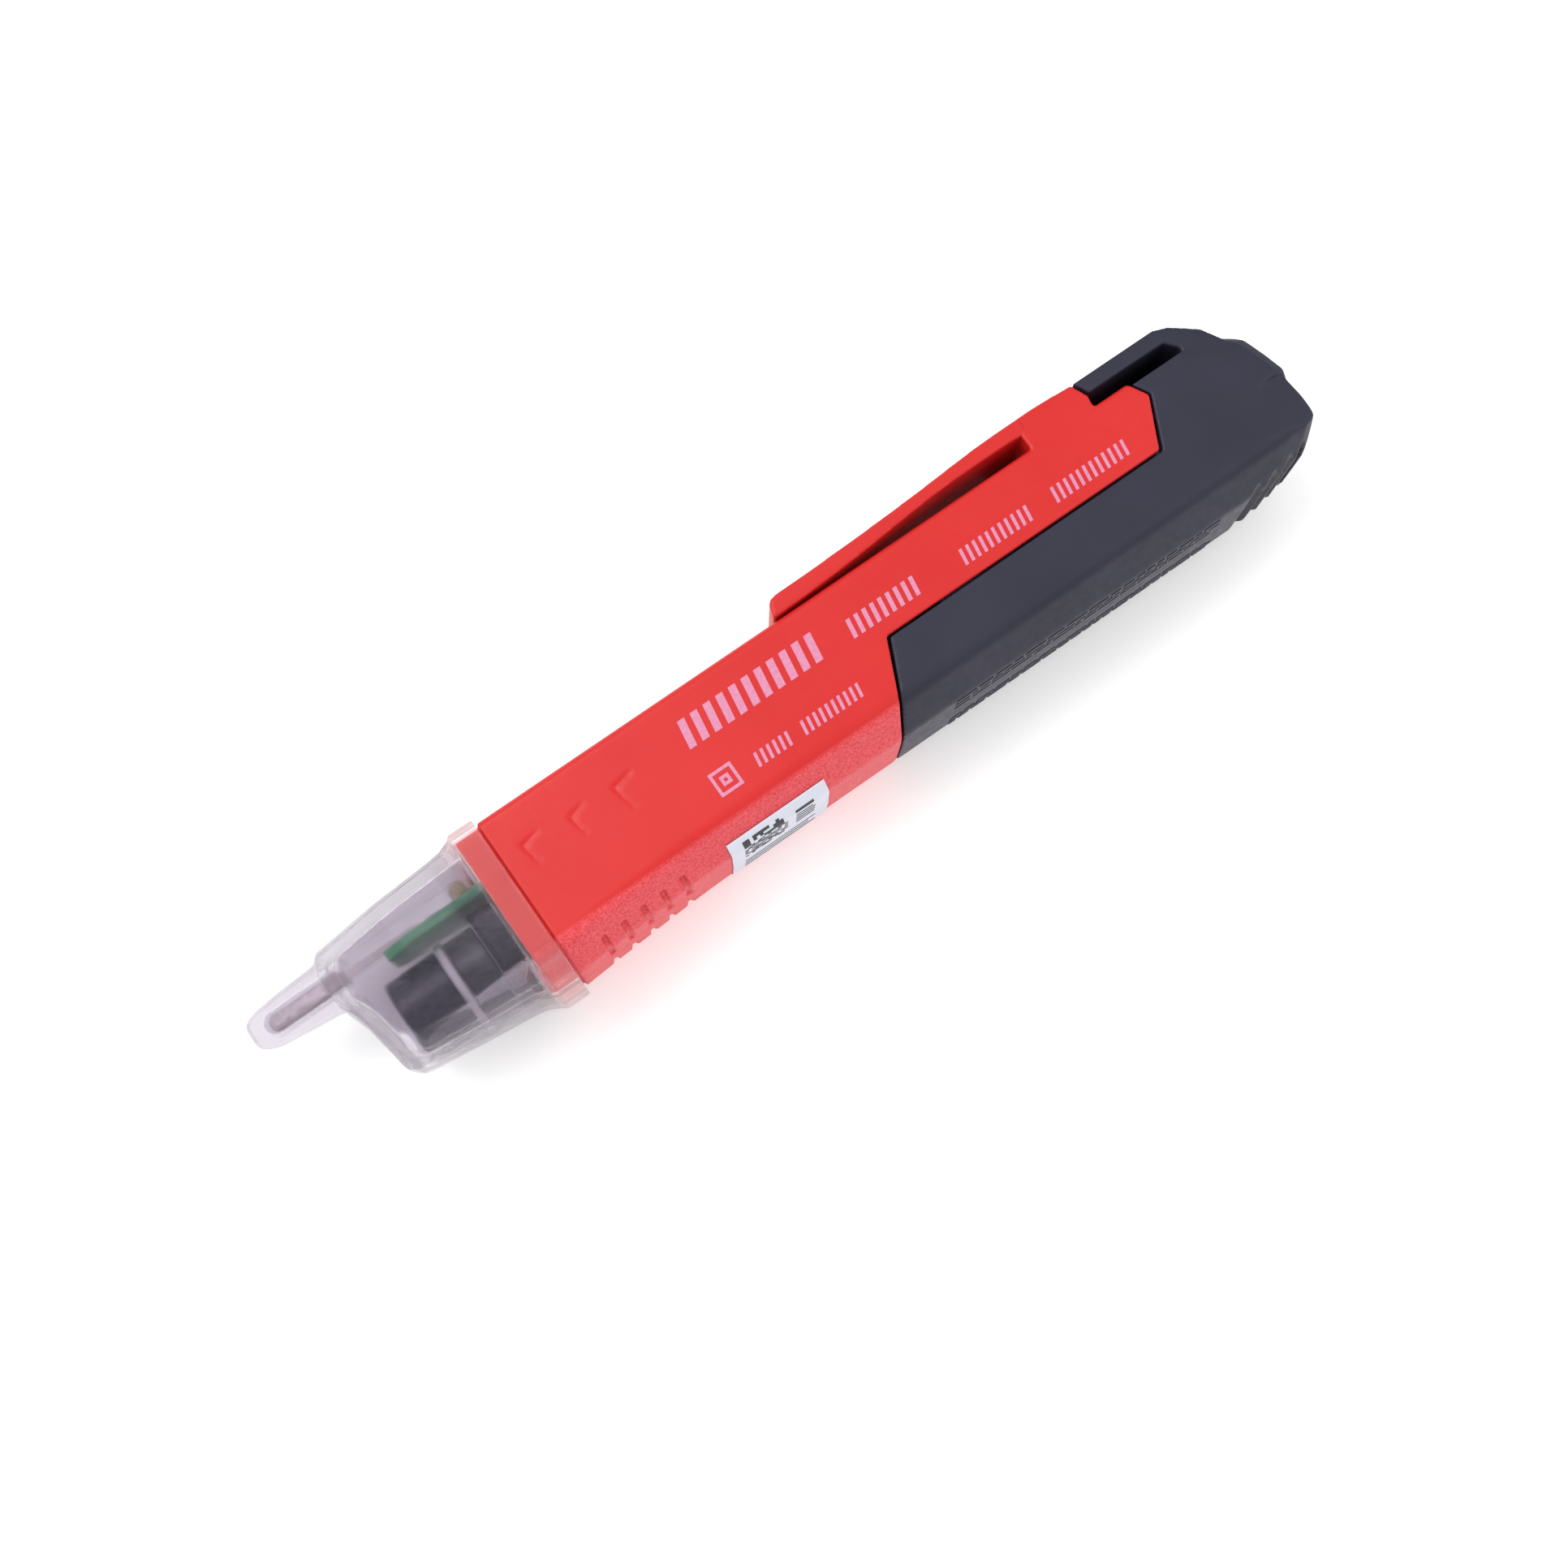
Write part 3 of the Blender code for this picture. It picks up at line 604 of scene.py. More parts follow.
def seam(gap):
    """Outline in (s, d) of everything behind the seam of the battery cover."""
    return [
        (COVER_HEEL_S + gap, 26.0),
        (COVER_HEEL_S + 0.2 + gap, 20.6),
        (COVER_CORNER_S + gap, COVER_EDGE_D + gap),
        (TONGUE_END_S - 3.4 + gap, COVER_EDGE_D + gap),
        (TONGUE_END_S + gap, 2.9),
        (TONGUE_END_S - 1.1 + gap, 0.9),
        (TONGUE_END_S - 1.6 + gap, -0.3),
        (TONGUE_END_S - 1.6 + gap, -9.0),
        (LENGTH + 8.0, -9.0),
        (LENGTH + 8.0, 26.0),
    ]


CHEVRONS = (
    ((43.5, 4.8), (40.5, 5.4), (41.2, 8.7)),
    ((50.0, 5.1), (47.2, 5.8), (47.8, 8.9)),
    ((57.0, 5.1), (53.6, 5.8), (54.4, 9.7)),
)
CHEVRON_REACH = 0.9    # width of the ramp inside each corner mark
CHEVRON_DEPTH = 0.3
GROOVE_STEP = 3.0
GROOVE_WIDTH = 0.8


def corner_mark(path, side):
    """Cutter for a corner-shaped mark: steep outer edge, ramp rising inward."""
    rings = []
    steps = ((0.0, 1.0, 0.3), (1.0, 1.0, 1.0), (1.0, 0.0, 0.3))
    for (s, d), (along, across, share) in zip(path, steps):
        inner_s = s + CHEVRON_REACH * along
        inner_d = d + CHEVRON_REACH * across
        top = side * (BODY_HALF + 0.4)
        rings.append([
            (s, d, top), (s, d, side * (BODY_HALF - CHEVRON_DEPTH * share)),
            (inner_s, inner_d, side * BODY_HALF), (inner_s, inner_d, top),
        ])
    return loft("corner_mark", rings)


def sleeve():
    neck = BODY_DEPTH_NOSE - NECK_INSET
    rings = []
    for s in (NECK_START, BODY_START):
        rings.append(section(s, NECK_INSET, neck, BODY_HALF - NECK_INSET, 0.8))
    for s in stations(BODY_START, 60.0, 2.2) + stations(62.0, 142.0, 8.0):
        rings.append(section(s, 0.0, body_depth(s), BODY_HALF))
    shell = loft("sleeve", rings)
    pillar = curve_through([(124.5, -4.2), (127.0, -4.1), (131.1, -HOOD_OUT)], 4)
    pillar = [(CLIP_ROOT_S, 3.0), (CLIP_ROOT_S, -CLIP_OUT)] + pillar
    pillar += [(132.1, -1.6), (131.9, 0.3), (131.9, 3.0)]
    join(shell, prism("clip_pillar", pillar, -CLIP_HALF, CLIP_HALF))
    inside = [section(s, 2.6, BODY_DEPTH_NOSE - 2.6, BODY_HALF - 2.5, 0.6, 1.6)
              for s in (30.0, BODY_START)]
    for s in stations(BODY_START, 60.0, 5.0) + [100.0, 146.0]:
        depth = body_depth(s) - WALL_EDGE
        inside.append(section(s, WALL_EDGE, depth, BODY_HALF - WALL_WIDE, 0.6, 1.6))
    cut(shell, loft("sleeve_bore", inside))
    cut(shell, prism("cover_seam", seam(0.0), -16.0, 16.0))
    for name, s in (("power", POWER_S), ("torch", TORCH_BUTTON_S)):
        outline = rounded(
            s - BUTTON_LONG - GAP, s + BUTTON_LONG + GAP,
            -BUTTON_WIDE - GAP, BUTTON_WIDE + GAP, 2.2)
        cut(shell, prism(name + "_window", outline, -2.0, 3.0, "sz"))
    for k in range(5):
        s = 42.3 + GROOVE_STEP * k
        for side in (-1, 1):
            w0, w1 = sorted((2.2 * side, 9.2 * side))
            cut(shell, back_patch("grip_groove", s, s + GROOVE_WIDTH, w0, w1, -0.45, 1.5))
    for path in CHEVRONS:
        for side in (-1, 1):
            cut(shell, corner_mark(path, side))
    for k, s in enumerate(BOSS_S):
        join(shell, rod("board_boss_%d" % k, 1.6, (s, 1.2, 0.0), BOARD_TOP_D - GAP - 1.2, "d", 24))
        cut(shell, rod("boss_bore_%d" % k, 0.95, (s, 2.4, 0.0), 8.0, "d", 24))
    return mould(shell, VOXEL, 2, 0.45)


def clip_blade():
    """Bowed spring clip whose root fades into the pillar of the sleeve."""
    outer = curve_through([
        (84.4, -2.78), (90.0, -2.85), (98.5, -3.1), (107.0, -3.5), (114.0, -3.95),
        (119.0, -4.14), (123.6, -4.16),
    ], 6)
    inner = curve_through([
        (123.6, -1.6), (122.6, -1.9), (119.0, -2.1), (110.0, -2.0), (104.0, -1.6), (97.0, -1.0),
        (90.0, -0.55), (84.0, -0.35),
    ], 6)
    outline = [(CLIP_TIP_S - 0.3, -0.3), (CLIP_TIP_S + 0.3, -2.1), (CLIP_TIP_S + 0.8, -2.6)]
    rings = []
    for z in stations(-CLIP_HALF, CLIP_HALF, 1.5):
        rings.append([(s, d, z) for s, d in outline + outer + inner])
    blade = loft("clip_blade", rings)
    return mould(blade, VOXEL, 2, 0.6)


# ---------------------------------------------------------------- clear nose


def slanted(ring, share):
    """Lean a ring back where it passes beyond the tip."""
    leaned = []
    for s, d, z in ring:
        reach = max(0.0, d - WALL_LEAN_START) / WALL_LEAN_REACH
        leaned.append((s + share * WALL_LEAN * (1.0 - math.exp(-reach)), d, z))
    return leaned


NOSE = [
    (NOSE_FRONT, 3.0, 18.0, 5.0, 1.0),
    (NOSE_FRONT + 0.25, 1.8, 19.1, 6.3, 1.0),
    (NOSE_FRONT + 1.3, 1.0, 20.0, 7.3, 1.0),
    (22.0, 0.4, 20.9, 9.3, 0.5),
    (30.0, 0.2, 21.5, 10.7, 0.0),
    (32.0, 0.1, 21.8, 11.3, 0.0),
]
NOSE_SPLITS = (3, 12, 3, 3, 3, 3, 12)


def nose_rings(inset, shift):
    rings = []
    for s, front, back, half, share in NOSE:
        ring = section(
            s + shift, front + inset, back - inset, half - inset, 1.6 - inset * 0.4,
            2.2 - inset * 0.4, NOSE_BEVEL, 0.42 * half, NOSE_SPLITS)
        rings.append(slanted(ring, share))
    return rings


def lens():
    rings = nose_rings(0.0, 0.0)
    rings.append(section(COLLAR_FRONT - 0.4, -0.3, COLLAR_BACK - 0.4, 12.2, 1.6, 2.4,
                         NOSE_BEVEL, splits=NOSE_SPLITS))
    for s in (COLLAR_FRONT + 0.1, COLLAR_REAR):
        rings.append(section(s, -COLLAR_OUT, COLLAR_BACK, COLLAR_HALF, 1.6, 2.4,
                             NOSE_BEVEL, splits=NOSE_SPLITS))
    shell = loft("lens", rings)
    finger = [
        oval(0.0, TIP_DEPTH - 0.1, 1.2, 0.8), oval(0.3, TIP_DEPTH - 0.1, 1.8, 1.4),
        oval(1.1, TIP_DEPTH - 0.1, 2.4, 1.9), oval(2.6, TIP_DEPTH, 2.8, 2.3),
        oval(6.0, TIP_DEPTH, 3.15, 2.6), oval(10.6, TIP_DEPTH + 0.1, 3.5, 2.9),
        oval(12.6, TIP_DEPTH + 0.1, 3.9, 3.3),
    ]
    join(shell, loft("sensing_tip", finger))
    inside = nose_rings(NOSE_WALL, 1.9)
    room = NECK_INSET - GAP
    inner = BODY_DEPTH_NOSE - room
    inside = inside[:4]
    step = NECK_START - GAP
    inside.append(section(step, 2.0, 20.1, 10.1, 0.9, 1.8, splits=NOSE_SPLITS))
    for s in (step, 40.0):
        inside.append(section(s, room, inner, BODY_HALF - room, 0.9, 2.2, splits=NOSE_SPLITS))
    cut(shell, loft("lens_bore", inside))
    slot = rounded(2.2, 15.0, TIP_DEPTH - 1.45, TIP_DEPTH + 1.45, 1.3)
    cut(shell, prism("tip_slot", slot, -1.3, 1.3))
    return mould(shell, LENS_VOXEL, 4, 0.8)


# ---------------------------------------------------------------- cover


TAIL = [
    (-2.0, 149.2), (1.0, 150.2), (2.6, 152.8), (3.7, 154.0), (6.8, 155.0), (9.9, LENGTH),
    (10.7, 155.2), (13.8, 155.5), (16.9, 155.4), (18.9, 153.6), (20.8, 151.2), (23.0, 148.6),
]


def tail_end(d):
    """Station of the end of the cover at a given depth."""
    for (d0, s0), (d1, s1) in zip(TAIL, TAIL[1:]):
        if d <= d1:
            return s0 + (s1 - s0) * (d - d0) / (d1 - d0)
    return TAIL[-1][1]


WIDE_SPLITS = (3, 18, 1, 3, 3, 1, 18)


def tail_ring(back_off, front, back, half):
    ring = section(
        0.0, front, back, half, 1.0, 2.0, 3.3, min(5.2, half * 0.44), splits=WIDE_SPLITS)
    return [(tail_end(d) - back_off, d, z) for _, d, z in ring]


def cover():
    rings = []
    for s in stations(80.0, 143.0, 9.0):
        rings.append(section(s, 0.0, BODY_DEPTH, BODY_HALF, splits=WIDE_SPLITS))
    rings.append(tail_ring(5.0, 0.0, BODY_DEPTH, BODY_HALF))
    rings.append(tail_ring(1.8, 0.1, BODY_DEPTH - 0.1, BODY_HALF - 0.2))
    rings.append(tail_ring(0.6, 0.4, BODY_DEPTH - 0.5, BODY_HALF - 0.8))
    rings.append(tail_ring(0.0, 1.4, BODY_DEPTH - 1.6, BODY_HALF - 2.2))
    rings.append(tail_ring(0.0, 5.0, BODY_DEPTH - 5.0, BODY_HALF - 7.0))
    shell = loft("cover", rings)
    inside = []
    for s in (78.0, 110.0, COVER_CAVITY_END):
        depth = BODY_DEPTH - WALL_EDGE
        inside.append(section(s, WALL_EDGE, depth, BODY_HALF - WALL_WIDE, 0.6, 1.6))
    cut(shell, loft("cover_bore", inside))
    keep_out = [(70.0, 26.0)] + seam(GAP)[:8] + [(70.0, -9.0)]
    cut(shell, prism("cover_front_seam", keep_out, -16.0, 16.0))
    floor = [(134.0, -3.0), (146.5, -3.0), (145.6, SLOT_FLOOR), (134.0, SLOT_FLOOR)]
    cut(shell, prism("slot_floor", floor, -16.0, 16.0))
    hood = [
        (131.5, -HOOD_OUT), (144.2, -HOOD_OUT), (146.2, -3.1), (147.9, -1.8), (149.5, -0.5),
        (151.2, 2.4), (147.5, 2.4), (145.7, SLOT_FLOOR + 0.1), (145.9, 0.2), (144.4, -1.65),
        (132.5, -1.75),
    ]
    join(shell, prism("hood", hood, -CLIP_HALF, CLIP_HALF))
    join(shell, block("slot_web", 133.0, 146.6, -2.0, -0.3, -2.0, 2.0))
    edge = BODY_DEPTH
    teeth = [
        (142.5, edge + 0.05), (144.6, edge - 1.1), (145.2, edge - 0.1), (147.3, edge - 1.3),
        (147.9, edge - 0.4), (150.0, edge - 1.8), (150.6, edge - 0.9), (152.2, edge - 2.4),
        (153.6, 25.0), (142.5, 25.0),
    ]
    cut(shell, prism("pull_ridges", teeth, -9.4, 9.4))
    for side in (-1, 1):
        slope = [
            (150.3, side * BODY_HALF), (158.0, side * (BODY_HALF - 2.0)),
            (158.0, side * (BODY_HALF + 1.0)), (150.3, side * (BODY_HALF + 1.0)),
        ]
        cut(shell, prism("end_facet", slope, 10.0, 26.0, "sz"))
    return mould(shell, VOXEL, 2, 0.45)


# ---------------------------------------------------------------- print and label


def print_plate(name, outline, side=1):
    """Thin raised print on a wide face."""
    low = BODY_HALF - 0.1
    high = BODY_HALF + PRINT_LIFT
    if side < 0:
        low, high = -high, -low
    return prism(name, outline, low, high)


def hatch(start, end, d0, d1, width, gap):
    """Row of slanted bars of one width between two stations."""
    bars = []
    lean = 0.16 * (d1 - d0)
    s = start
    while s + width <= end + 0.01:
        bars.append([(s, d1), (s + width, d1), (s + width + lean, d0), (s + lean, d0)])
        s += width + gap
    return bars


def frame_bars(s0, s1, d0, d1, width):
    """A square frame drawn as four bars that meet without overlapping."""
    return [
        [(s0, d0), (s1, d0), (s1, d0 + width), (s0, d0 + width)],
        [(s0, d1 - width), (s1, d1 - width), (s1, d1), (s0, d1)],
        [(s0, d0 + width), (s0 + width, d0 + width), (s0 + width, d1 - width), (s0, d1 - width)],
        [(s1 - width, d0 + width), (s1, d0 + width), (s1, d1 - width), (s1 - width, d1 - width)],
    ]


def print_marks(side):
    """Generic marks: bands of slanted bars and a double square."""
    plates = hatch(64.3, 84.6, 3.7, 7.5, 1.05, 0.85)
    for box in ((64.1, 67.4, 11.4, 14.7), (65.1, 66.4, 12.4, 13.7)):
        plates += frame_bars(*box, 0.42)
    for span in ((70.0, 75.2), (77.0, 86.6)):
        plates += hatch(*span, 12.3, 14.2, 0.42, 0.5)
    plates += hatch(89.0, 99.6, 5.0, 7.6, 0.6, 0.6)
    for span in ((106.0, 117.4), (120.3, 132.6)):
        plates += hatch(*span, 5.7, 7.9, 0.45, 0.55)
    made = []
    for k, outline in enumerate(plates):
        made.append(print_plate("mark_%d" % k, outline, side))
    return merge("print_marks_front" if side > 0 else "print_marks_rear", made)


def back_line(s, offset):
    """The rounded back of the body as a line from the high wide face to the low one."""
    ring = section(s, 0.0, body_depth(s) + offset, BODY_HALF + offset)
    return [(d, z) for _, d, z in ring if d > 14.0]


def back_point(s, along, offset):
    """Point of the back at a distance along the line, measured from the middle of the back."""
    line = back_line(s, offset)
    if line[0][1] < line[-1][1]:
        line = line[::-1]
    total = sum(math.dist(a, b) for a, b in zip(line, line[1:]))
    left = total / 2 - along
    for a, b in zip(line, line[1:]):
        step = math.dist(a, b)
        if left <= step:
            t = left / step
            return (s, a[0] + (b[0] - a[0]) * t, a[1] + (b[1] - a[1]) * t)
        left -= step
    return (s, *line[-1])


def back_patch(name, s0, s1, w0, w1, low, high):
    """Thin plate wrapped over the back between two stations and two distances along it."""
    count_s = max(1, round(s1 - s0))
    count_w = max(1, round((w1 - w0) / 0.4))
    points = []
    faces = []
    for layer, offset in enumerate((low, high)):
        for i in range(count_s + 1):
            for j in range(count_w + 1):
                s = s0 + (s1 - s0) * i / count_s
                w = w0 + (w1 - w0) * j / count_w
                points.append(at(*back_point(s, w, offset)))
    stride = count_w + 1
    layer = (count_s + 1) * stride
    for i in range(count_s):
        for j in range(count_w):
            a = i * stride + j
            faces.append((a, a + 1, a + stride + 1, a + stride))
            faces.append((layer + a, layer + a + stride, layer + a + stride + 1, layer + a + 1))
    rim = list(range(stride))
    rim += [i * stride + count_w for i in range(1, count_s + 1)]
    rim += [count_s * stride + j for j in range(count_w - 1, -1, -1)]
    rim += [i * stride for i in range(count_s - 1, 0, -1)]
    for a, b in zip(rim, rim[1:] + rim[:1]):
        faces.append((a, b, layer + b, layer + a))
    return mesh_object(name, points, faces)


def label():
    sticker = back_patch("label", 61.3, 76.0, -9.0, 9.0, 0.06, 0.2)
    return smooth_shade(sticker, 40)


def label_marks():
    """Made-up block pattern and bars: nothing is encoded."""
    random.seed(11)
    blocks = []
    cell = 0.5
    for i in range(13):
        for j in range(13):
            if random.random() < 0.52:   # share of dark cells
                s = 63.2 + cell * i
                w = 1.6 + cell * j
                blocks.append(back_patch("module", s, s + cell, w, w + cell, 0.19, 0.225))
    for k in range(5):
        w = 1.8 + 1.25 * k
        long = 2.2 + random.random() * 0.8
        blocks.append(back_patch("bar", 71.0, 71.0 + long, w, w + 0.55, 0.19, 0.225))
    for k in range(4):
        blocks.append(back_patch(
            "low_bar", 63.2, 72.0 + random.random() * 2.5, -7.6 + 2.0 * k, -6.9 + 2.0 * k, 0.19, 0.225))
    return smooth_shade(merge("label_marks", blocks), 40)


def cover_marks():
    """Rows of plain low bars on the back of the cover, in the cover's own plastic."""
    random.seed(5)
    bars = []
    for side in (1, -1):
        for row in range(3):
            s = 96.0
            while s < 137.0:
                long = 0.8 + 2.4 * random.random()
                w = side * (2.4 + 1.5 * row)
                low = min(w, w + side * 0.8)
                bars.append(back_patch("bar", s, s + long, low, low + 0.8, -0.05, 0.09))
                s += long + 0.5
    return smooth_shade(merge("cover_marks", bars), 40)


# ---------------------------------------------------------------- buttons and inside


def button(name, s, ribs):
    levels = [(2.7, 0.15), (2.55, 0.0), (2.1, 0.0), (2.0, 0.1)]
    flange = pillow(name + "_flange", (s, 0.0), 5.8, 5.2, 2.0, levels)
    levels = [(2.2, 0.0), (0.0, 0.0), (-0.3, 0.12), (-0.5, 0.4), (-0.62, 0.8), (-0.62, 2.0)]
    cap = pillow(name + "_cap", (s, 0.0), BUTTON_LONG, BUTTON_WIDE, 2.0, levels)
    pieces = [flange, cap]
    if ribs:
        for k in (-1, 0, 1):
            levels = [(-0.4, 0.0), (-0.72, 0.05), (-0.8, 0.2)]
            pieces.append(pillow(name + "_rib", (s + 1.7 * k, 0.0), 0.42, 2.3, 0.4, levels))
    else:
        ring = [(2.2, -0.4), (2.2, -0.72), (2.05, -0.8), (1.75, -0.8), (1.6, -0.72), (1.6, -0.4)]
        pieces.append(turned(name + "_ring", ring, (s, 0.0, 0.0), "d", 48, hollow=True))
        pieces.append(pillow(name + "_bar", (s - 2.1, 0.0), 1.0, 0.35, 0.3,
                             [(-0.4, 0.0), (-0.75, 0.05), (-0.8, 0.15)]))
    return smooth_shade(merge(name + "_key", pieces), 40)


def plunger(name, s):
    profile = [(0.02, 0.0), (1.35, 0.0), (1.55, 0.12), (1.6, 0.3), (1.6, 1.3), (0.02, 1.3)]
    return smooth_shade(turned(name + "_stem", profile, (s, 3.0, 0.0), "d", 40), 40)


def board():
    """Circuit board with the holes for its two screws."""
    f = BOARD_FRONT_S
    outline = [
        (f, -4.2), (23.0, -5.8), (34.0, -6.9), (37.0, -8.6), (86.0, -8.6),
        (86.0, 8.6), (37.0, 8.6), (34.0, 6.9), (23.0, 5.8), (f, 4.2),
    ]
    plate = prism("board", outline, BOARD_TOP_D, BOARD_TOP_D + BOARD_THICK, "sz")
    for k, s in enumerate(BOSS_S):
        cut(plate, rod("board_hole_%d" % k, 1.05, (s, 5.0, 0.0), 6.0, "d", 32))
    return soften(plate, 0.12, 2)


def board_details():
    """Chip resistors and capacitors."""
    random.seed(3)
    small = []
    spots = [(27.0, 3.4), (27.6, -3.2), (32.5, 4.4), (33.0, -4.6), (38.5, 5.5), (39.0, -5.8),
             (43.0, 6.4), (56.0, -6.0), (75.5, 5.6), (77.0, -5.4), (83.0, 5.0)]
    for k, (s, z) in enumerate(spots):
        turn = k % 2
        long = 0.5 if turn else 1.0
        wide = 1.0 if turn else 0.5
        small.append(block("chip_%d" % k, s - long, s + long, BOARD_TOP_D - 0.55,
                           BOARD_TOP_D + 0.05, z - wide, z + wide))
    made = merge("board_chips", small)
    return soften(made, 0.1, 2)


def solder():
    domes = []
    for k in range(14):
        s = 25.5 + 4.3 * k
        for side in (-1, 1):
            z = side * (4.6 + 0.6 * math.sin(k * 1.7) + min(2.6, 0.08 * k * 3))
            z = max(-7.9, min(7.9, z))
            profile = [(0.01, -0.32), (0.3, -0.24), (0.5, -0.05), (0.55, 0.05), (0.01, 0.05)]
            domes.append(turned("dome", profile, (s, BOARD_TOP_D, z), "d", 16))
    return smooth_shade(merge("solder_joints", domes), 50)


def torch_barrel():
    length = TORCH_REAR_S - TORCH_FRONT_S
    profile = [
        (0.02, length), (TORCH_RADIUS, length), (TORCH_RADIUS, 8.9),
        (TORCH_RADIUS - 0.12, 8.8), (TORCH_RADIUS - 0.12, 7.3), (TORCH_RADIUS, 7.2),
        (TORCH_RADIUS, 0.25), (TORCH_RADIUS - 0.2, 0.0), (4.4, 0.0), (3.6, 2.3), (2.8, 4.6),
        (2.1, 6.6), (2.1, length - 2.0), (0.02, length - 2.0),
    ]
    tube = turned("torch_tube", profile, (TORCH_FRONT_S, TORCH_D, 0.0), "s", 96)
    return smooth_shade(tube, 30)


def torch_band():
    low = TORCH_RADIUS + 0.05
    high = TORCH_RADIUS + 0.45
    ring = [(low, 0.1), (high - 0.1, 0.0), (high, 0.1), (high, 0.9), (high - 0.1, 1.0), (low, 0.9)]
    band = turned("torch_band", ring, (24.6, TORCH_D, 0.0), "s", 96, hollow=True)
    return smooth_shade(band, 40)


def torch_bulb():
    profile = [
        (0.02, 0.0), (0.45, 0.05), (0.85, 0.2), (1.2, 0.55), (1.4, 1.0), (1.45, 1.4), (1.45, 3.8),
        (1.8, 3.85), (1.8, 4.4), (0.02, 4.4),
    ]
    return smooth_shade(turned("torch_bulb", profile, (23.3, TORCH_D, 0.0), "s", 48), 40)


def signal_bulb():
    profile = [
        (0.02, 0.0), (0.5, 0.06), (0.95, 0.25), (1.3, 0.65), (1.45, 1.2), (1.45, 2.2),
        (1.3, 2.4), (0.02, 2.4),
    ]
    return smooth_shade(turned("signal_bulb", profile, (31.6, 2.7, 2.6), "d", 48), 40)


def holder():
    """Carrier behind the torch, chamfered at both ends."""
    levels = [(30.4, 0.35), (30.7, 0.0), (43.8, 0.0), (44.0, 0.2)]
    return smooth_shade(pillow("torch_carrier", (12.3, 0.0), 4.7, 5.6, 1.4, levels, "dz"), 40)


def sensor():
    blade = rounded(2.7, 14.0, TIP_DEPTH - 1.1, TIP_DEPTH + 1.1, 1.0)
    foil = prism("sensor_foil", blade, -0.2, 0.2)
    join(foil, block("sensor_tail", 13.0, 25.0, TIP_DEPTH - 0.5, TIP_DEPTH + 0.5, -0.2, 0.2))
    return soften(foil, 0.06, 2)


def sounder():
    profile = [
        (0.02, 0.0), (4.2, 0.0), (4.4, 0.2), (4.4, 2.4), (4.2, 2.6), (2.0, 2.6), (1.9, 2.5),
        (1.2, 2.5), (1.1, 2.4), (1.1, 1.8), (0.02, 1.8),
    ]
    return smooth_shade(turned("sounder", profile, (71.0, 6.9, 0.0), "d", 64), 35)


def chip():
    body = block("chip_body", 46.0, 52.0, 7.0, 8.2, -2.6, 2.6)
    soften(body, 0.15, 2)
    legs = []
    for k in range(4):
        for side in (-1, 1):
            s = 46.9 + 1.27 * k
            z0, z1 = sorted((2.4 * side, 3.4 * side))
            legs.append(block("leg", s - 0.2, s + 0.2, 6.85, 7.5, z0, z1))
    return body, merge("chip_legs", legs)


# ---------------------------------------------------------------- whole object


def dress_cad(node, mat):
    """Show a piece straight from the CAD with a material of its own."""
    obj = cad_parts[node]
    obj.data.materials.clear()
    obj.data.materials.append(mat)
    obj.data.shade_smooth()
    obj.data.set_sharp_from_angle(angle=math.radians(35))


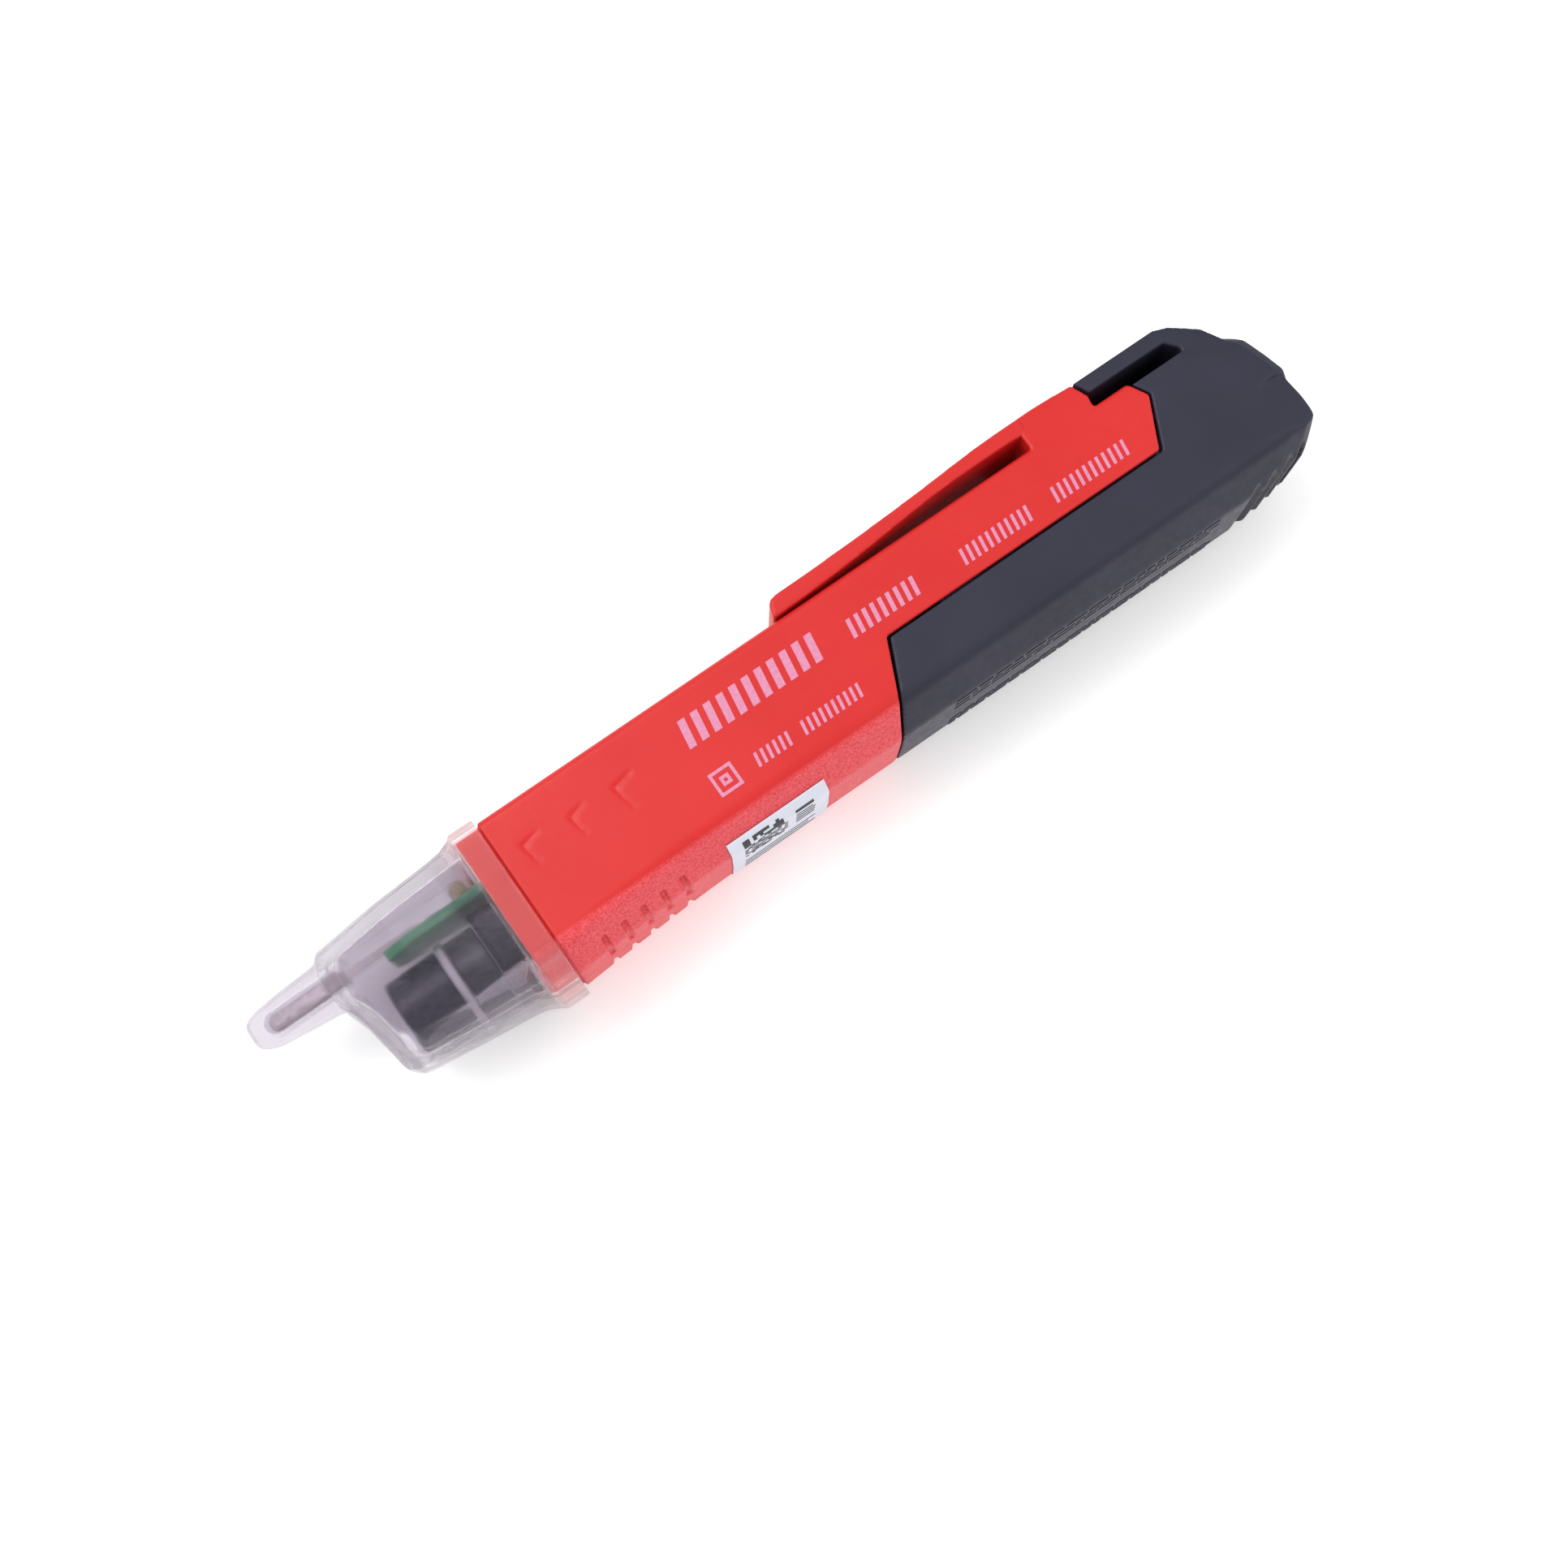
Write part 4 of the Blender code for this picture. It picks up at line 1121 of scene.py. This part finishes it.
def build():
    red = red_plastic()
    dark = dark_plastic()
    ink = print_ink()
    black = plain("smooth_black", (0.018, 0.020, 0.050), (0.22, 0.36), 0.7)
    matt = plain("matt_black", (0.03, 0.03, 0.035), (0.5, 0.65), 0.8)
    white = plain("ring_white", (0.78, 0.77, 0.80), (0.35, 0.5), 0.93)
    paper = plain("label_paper", (0.66, 0.68, 0.78), (0.4, 0.55), 0.95)
    paper_ink = plain("label_ink", (0.03, 0.03, 0.035), (0.5, 0.6), 0.8)
    rubber_dark = plain("button_dark", (0.035, 0.034, 0.045), (0.55, 0.7), 0.8, 3.0, 0.02)
    rubber_grey = plain("button_grey", (0.26, 0.27, 0.32), (0.55, 0.7), 0.85, 3.0, 0.02)
    stem = plain("stem_grey", (0.25, 0.25, 0.27))
    foil = plated("sensor_foil", (0.60, 0.55, 0.56), (0.4, 0.6))
    plate = plated("contact_plate", (0.72, 0.70, 0.66))
    steel = plated("screw_steel", (0.55, 0.55, 0.56))
    resin = plain("torch_resin", (0.92, 0.90, 0.66), (0.08, 0.16), 0.9, Transmission_Weight=0.6)
    amber = plain("signal_resin", (0.86, 0.72, 0.40), (0.1, 0.2), 0.9, Transmission_Weight=0.5)
    mask = board_green()

    fit(sleeve(), red, "housing", "red_shell", "body_shell")
    fit(clip_blade(), red, "pocket_clip", "red_clip", "pocket_clip")
    fit(lens(), lens_plastic(), "housing", "clear_lens", "nose_lens")
    fit(cover(), dark, "battery_cover", "dark_cover", "battery_cover")
    fit(cover_marks(), dark, "battery_cover", "dark_cover")
    for side in (1, -1):
        fit(print_marks(side), ink, "housing", "red_shell")
    fit(label(), paper, "housing", "label_white", "rating_label")
    fit(label_marks(), paper_ink, "housing", "label_white")
    fit(button("power", POWER_S, False), rubber_dark, "power_button", "power_button_dark",
        "power_button")
    fit(button("torch", TORCH_BUTTON_S, True), rubber_grey, "torch_button", "torch_button_grey",
        "torch_button")
    fit(plunger("power", POWER_S), stem, "power_button", "plunger_grey", "power_plunger")
    fit(plunger("torch", TORCH_BUTTON_S), stem, "torch_button", "plunger_grey", "torch_plunger")
    fit(board(), mask, "housing", "board_green", "circuit_board")
    fit(board_details(), paper_ink, "housing", "chip_black")
    fit(solder(), plate, "housing", "contact_metal")
    fit(torch_barrel(), black, "housing", "barrel_black", "torch_barrel")
    fit(torch_band(), white, "housing", "ring_white", "torch_ring")
    fit(torch_bulb(), resin, "housing", "torch_led_resin", "torch_led")
    fit(signal_bulb(), amber, "housing", "indicator_resin", "indicator_led")
    fit(holder(), black, "housing", "barrel_black", "torch_holder")
    fit(sensor(), foil, "housing", "sensor_metal", "sensor_strip")
    fit(sounder(), matt, "housing", "buzzer_black", "buzzer")
    body, legs = chip()
    fit(body, matt, "housing", "chip_black", "controller_chip")
    fit(legs, plate, "housing", "contact_metal")

    for node in ("power_switch", "torch_switch", "battery_tray", "lead_negative"):
        dress_cad(node, matt)
    dress_cad("battery_1", cell_wrap("cell_wrap_a", (0.10, 0.16, 0.30)))
    dress_cad("battery_2", cell_wrap("cell_wrap_b", (0.10, 0.16, 0.30)))
    for node in ("positive_contact", "negative_spring", "bridge_contact", "bridge_spring"):
        dress_cad(node, plate)
    for node in ("board_screw_1", "board_screw_2"):
        dress_cad(node, steel)
    dress_cad("lead_positive", plain("lead_red", (0.50, 0.03, 0.03), (0.4, 0.5)))


# ---------------------------------------------------------------- stage


def floor():
    reach = 3.0
    mesh = bpy.data.meshes.new("floor")
    mesh.from_pydata(
        [(-reach, -reach, -FLOOR_DROP), (reach, -reach, -FLOOR_DROP),
         (reach, reach, -FLOOR_DROP), (-reach, reach, -FLOOR_DROP)], [], [(0, 1, 2, 3)])
    obj = bpy.data.objects.new("floor", mesh)
    bpy.context.scene.collection.objects.link(obj)
    n = Nodes("floor_paper")
    n.colour(n.mix(n.spread(n.noise(0.004), 0.0, 1.0), (0.93, 0.93, 0.93), (0.95, 0.95, 0.95)))
    n.shader.inputs["Roughness"].default_value = 0.9
    n.shader.inputs["Emission Color"].default_value = (1.0, 1.0, 1.0, 1.0)
    n.shader.inputs["Emission Strength"].default_value = FLOOR_GLOW
    obj.data.materials.append(n.mat)


def lamp(name, place, size, power):
    """Square area lamp, placed in metres and aimed at the origin."""
    data = bpy.data.lights.new(name, "AREA")
    data.shape = "SQUARE"
    data.size = size
    data.energy = power
    obj = bpy.data.objects.new(name, data)
    obj.location = place
    way = -Vector(place)
    obj.rotation_euler = way.to_track_quat("-Z", "Y").to_euler()
    bpy.context.scene.collection.objects.link(obj)


def stage():
    floor()
    world = bpy.data.worlds.new("studio")
    world.use_nodes = True
    background = world.node_tree.nodes["Background"]
    background.inputs["Color"].default_value = (1.0, 1.0, 1.0, 1.0)
    background.inputs["Strength"].default_value = WORLD_STRENGTH
    bpy.context.scene.world = world
    bpy.context.scene.view_settings.view_transform = "Standard"
    lamp("key", (-0.25, 0.35, 0.75), 0.5, KEY_POWER)
    lamp("fill", (0.5, -0.25, 0.6), 0.6, FILL_POWER)


def camera():
    data = bpy.data.cameras.new("camera")
    data.sensor_width = 36.0
    data.lens = 48.45
    data.clip_start = 0.01
    obj = bpy.data.objects.new("camera", data)
    obj.location = (-0.04016, -0.04793, 0.27716)
    obj.rotation_euler = tuple(math.radians(a) for a in (11.583, -1.005, -35.226))
    bpy.context.scene.collection.objects.link(obj)
    bpy.context.scene.camera = obj


build()
stage()
camera()
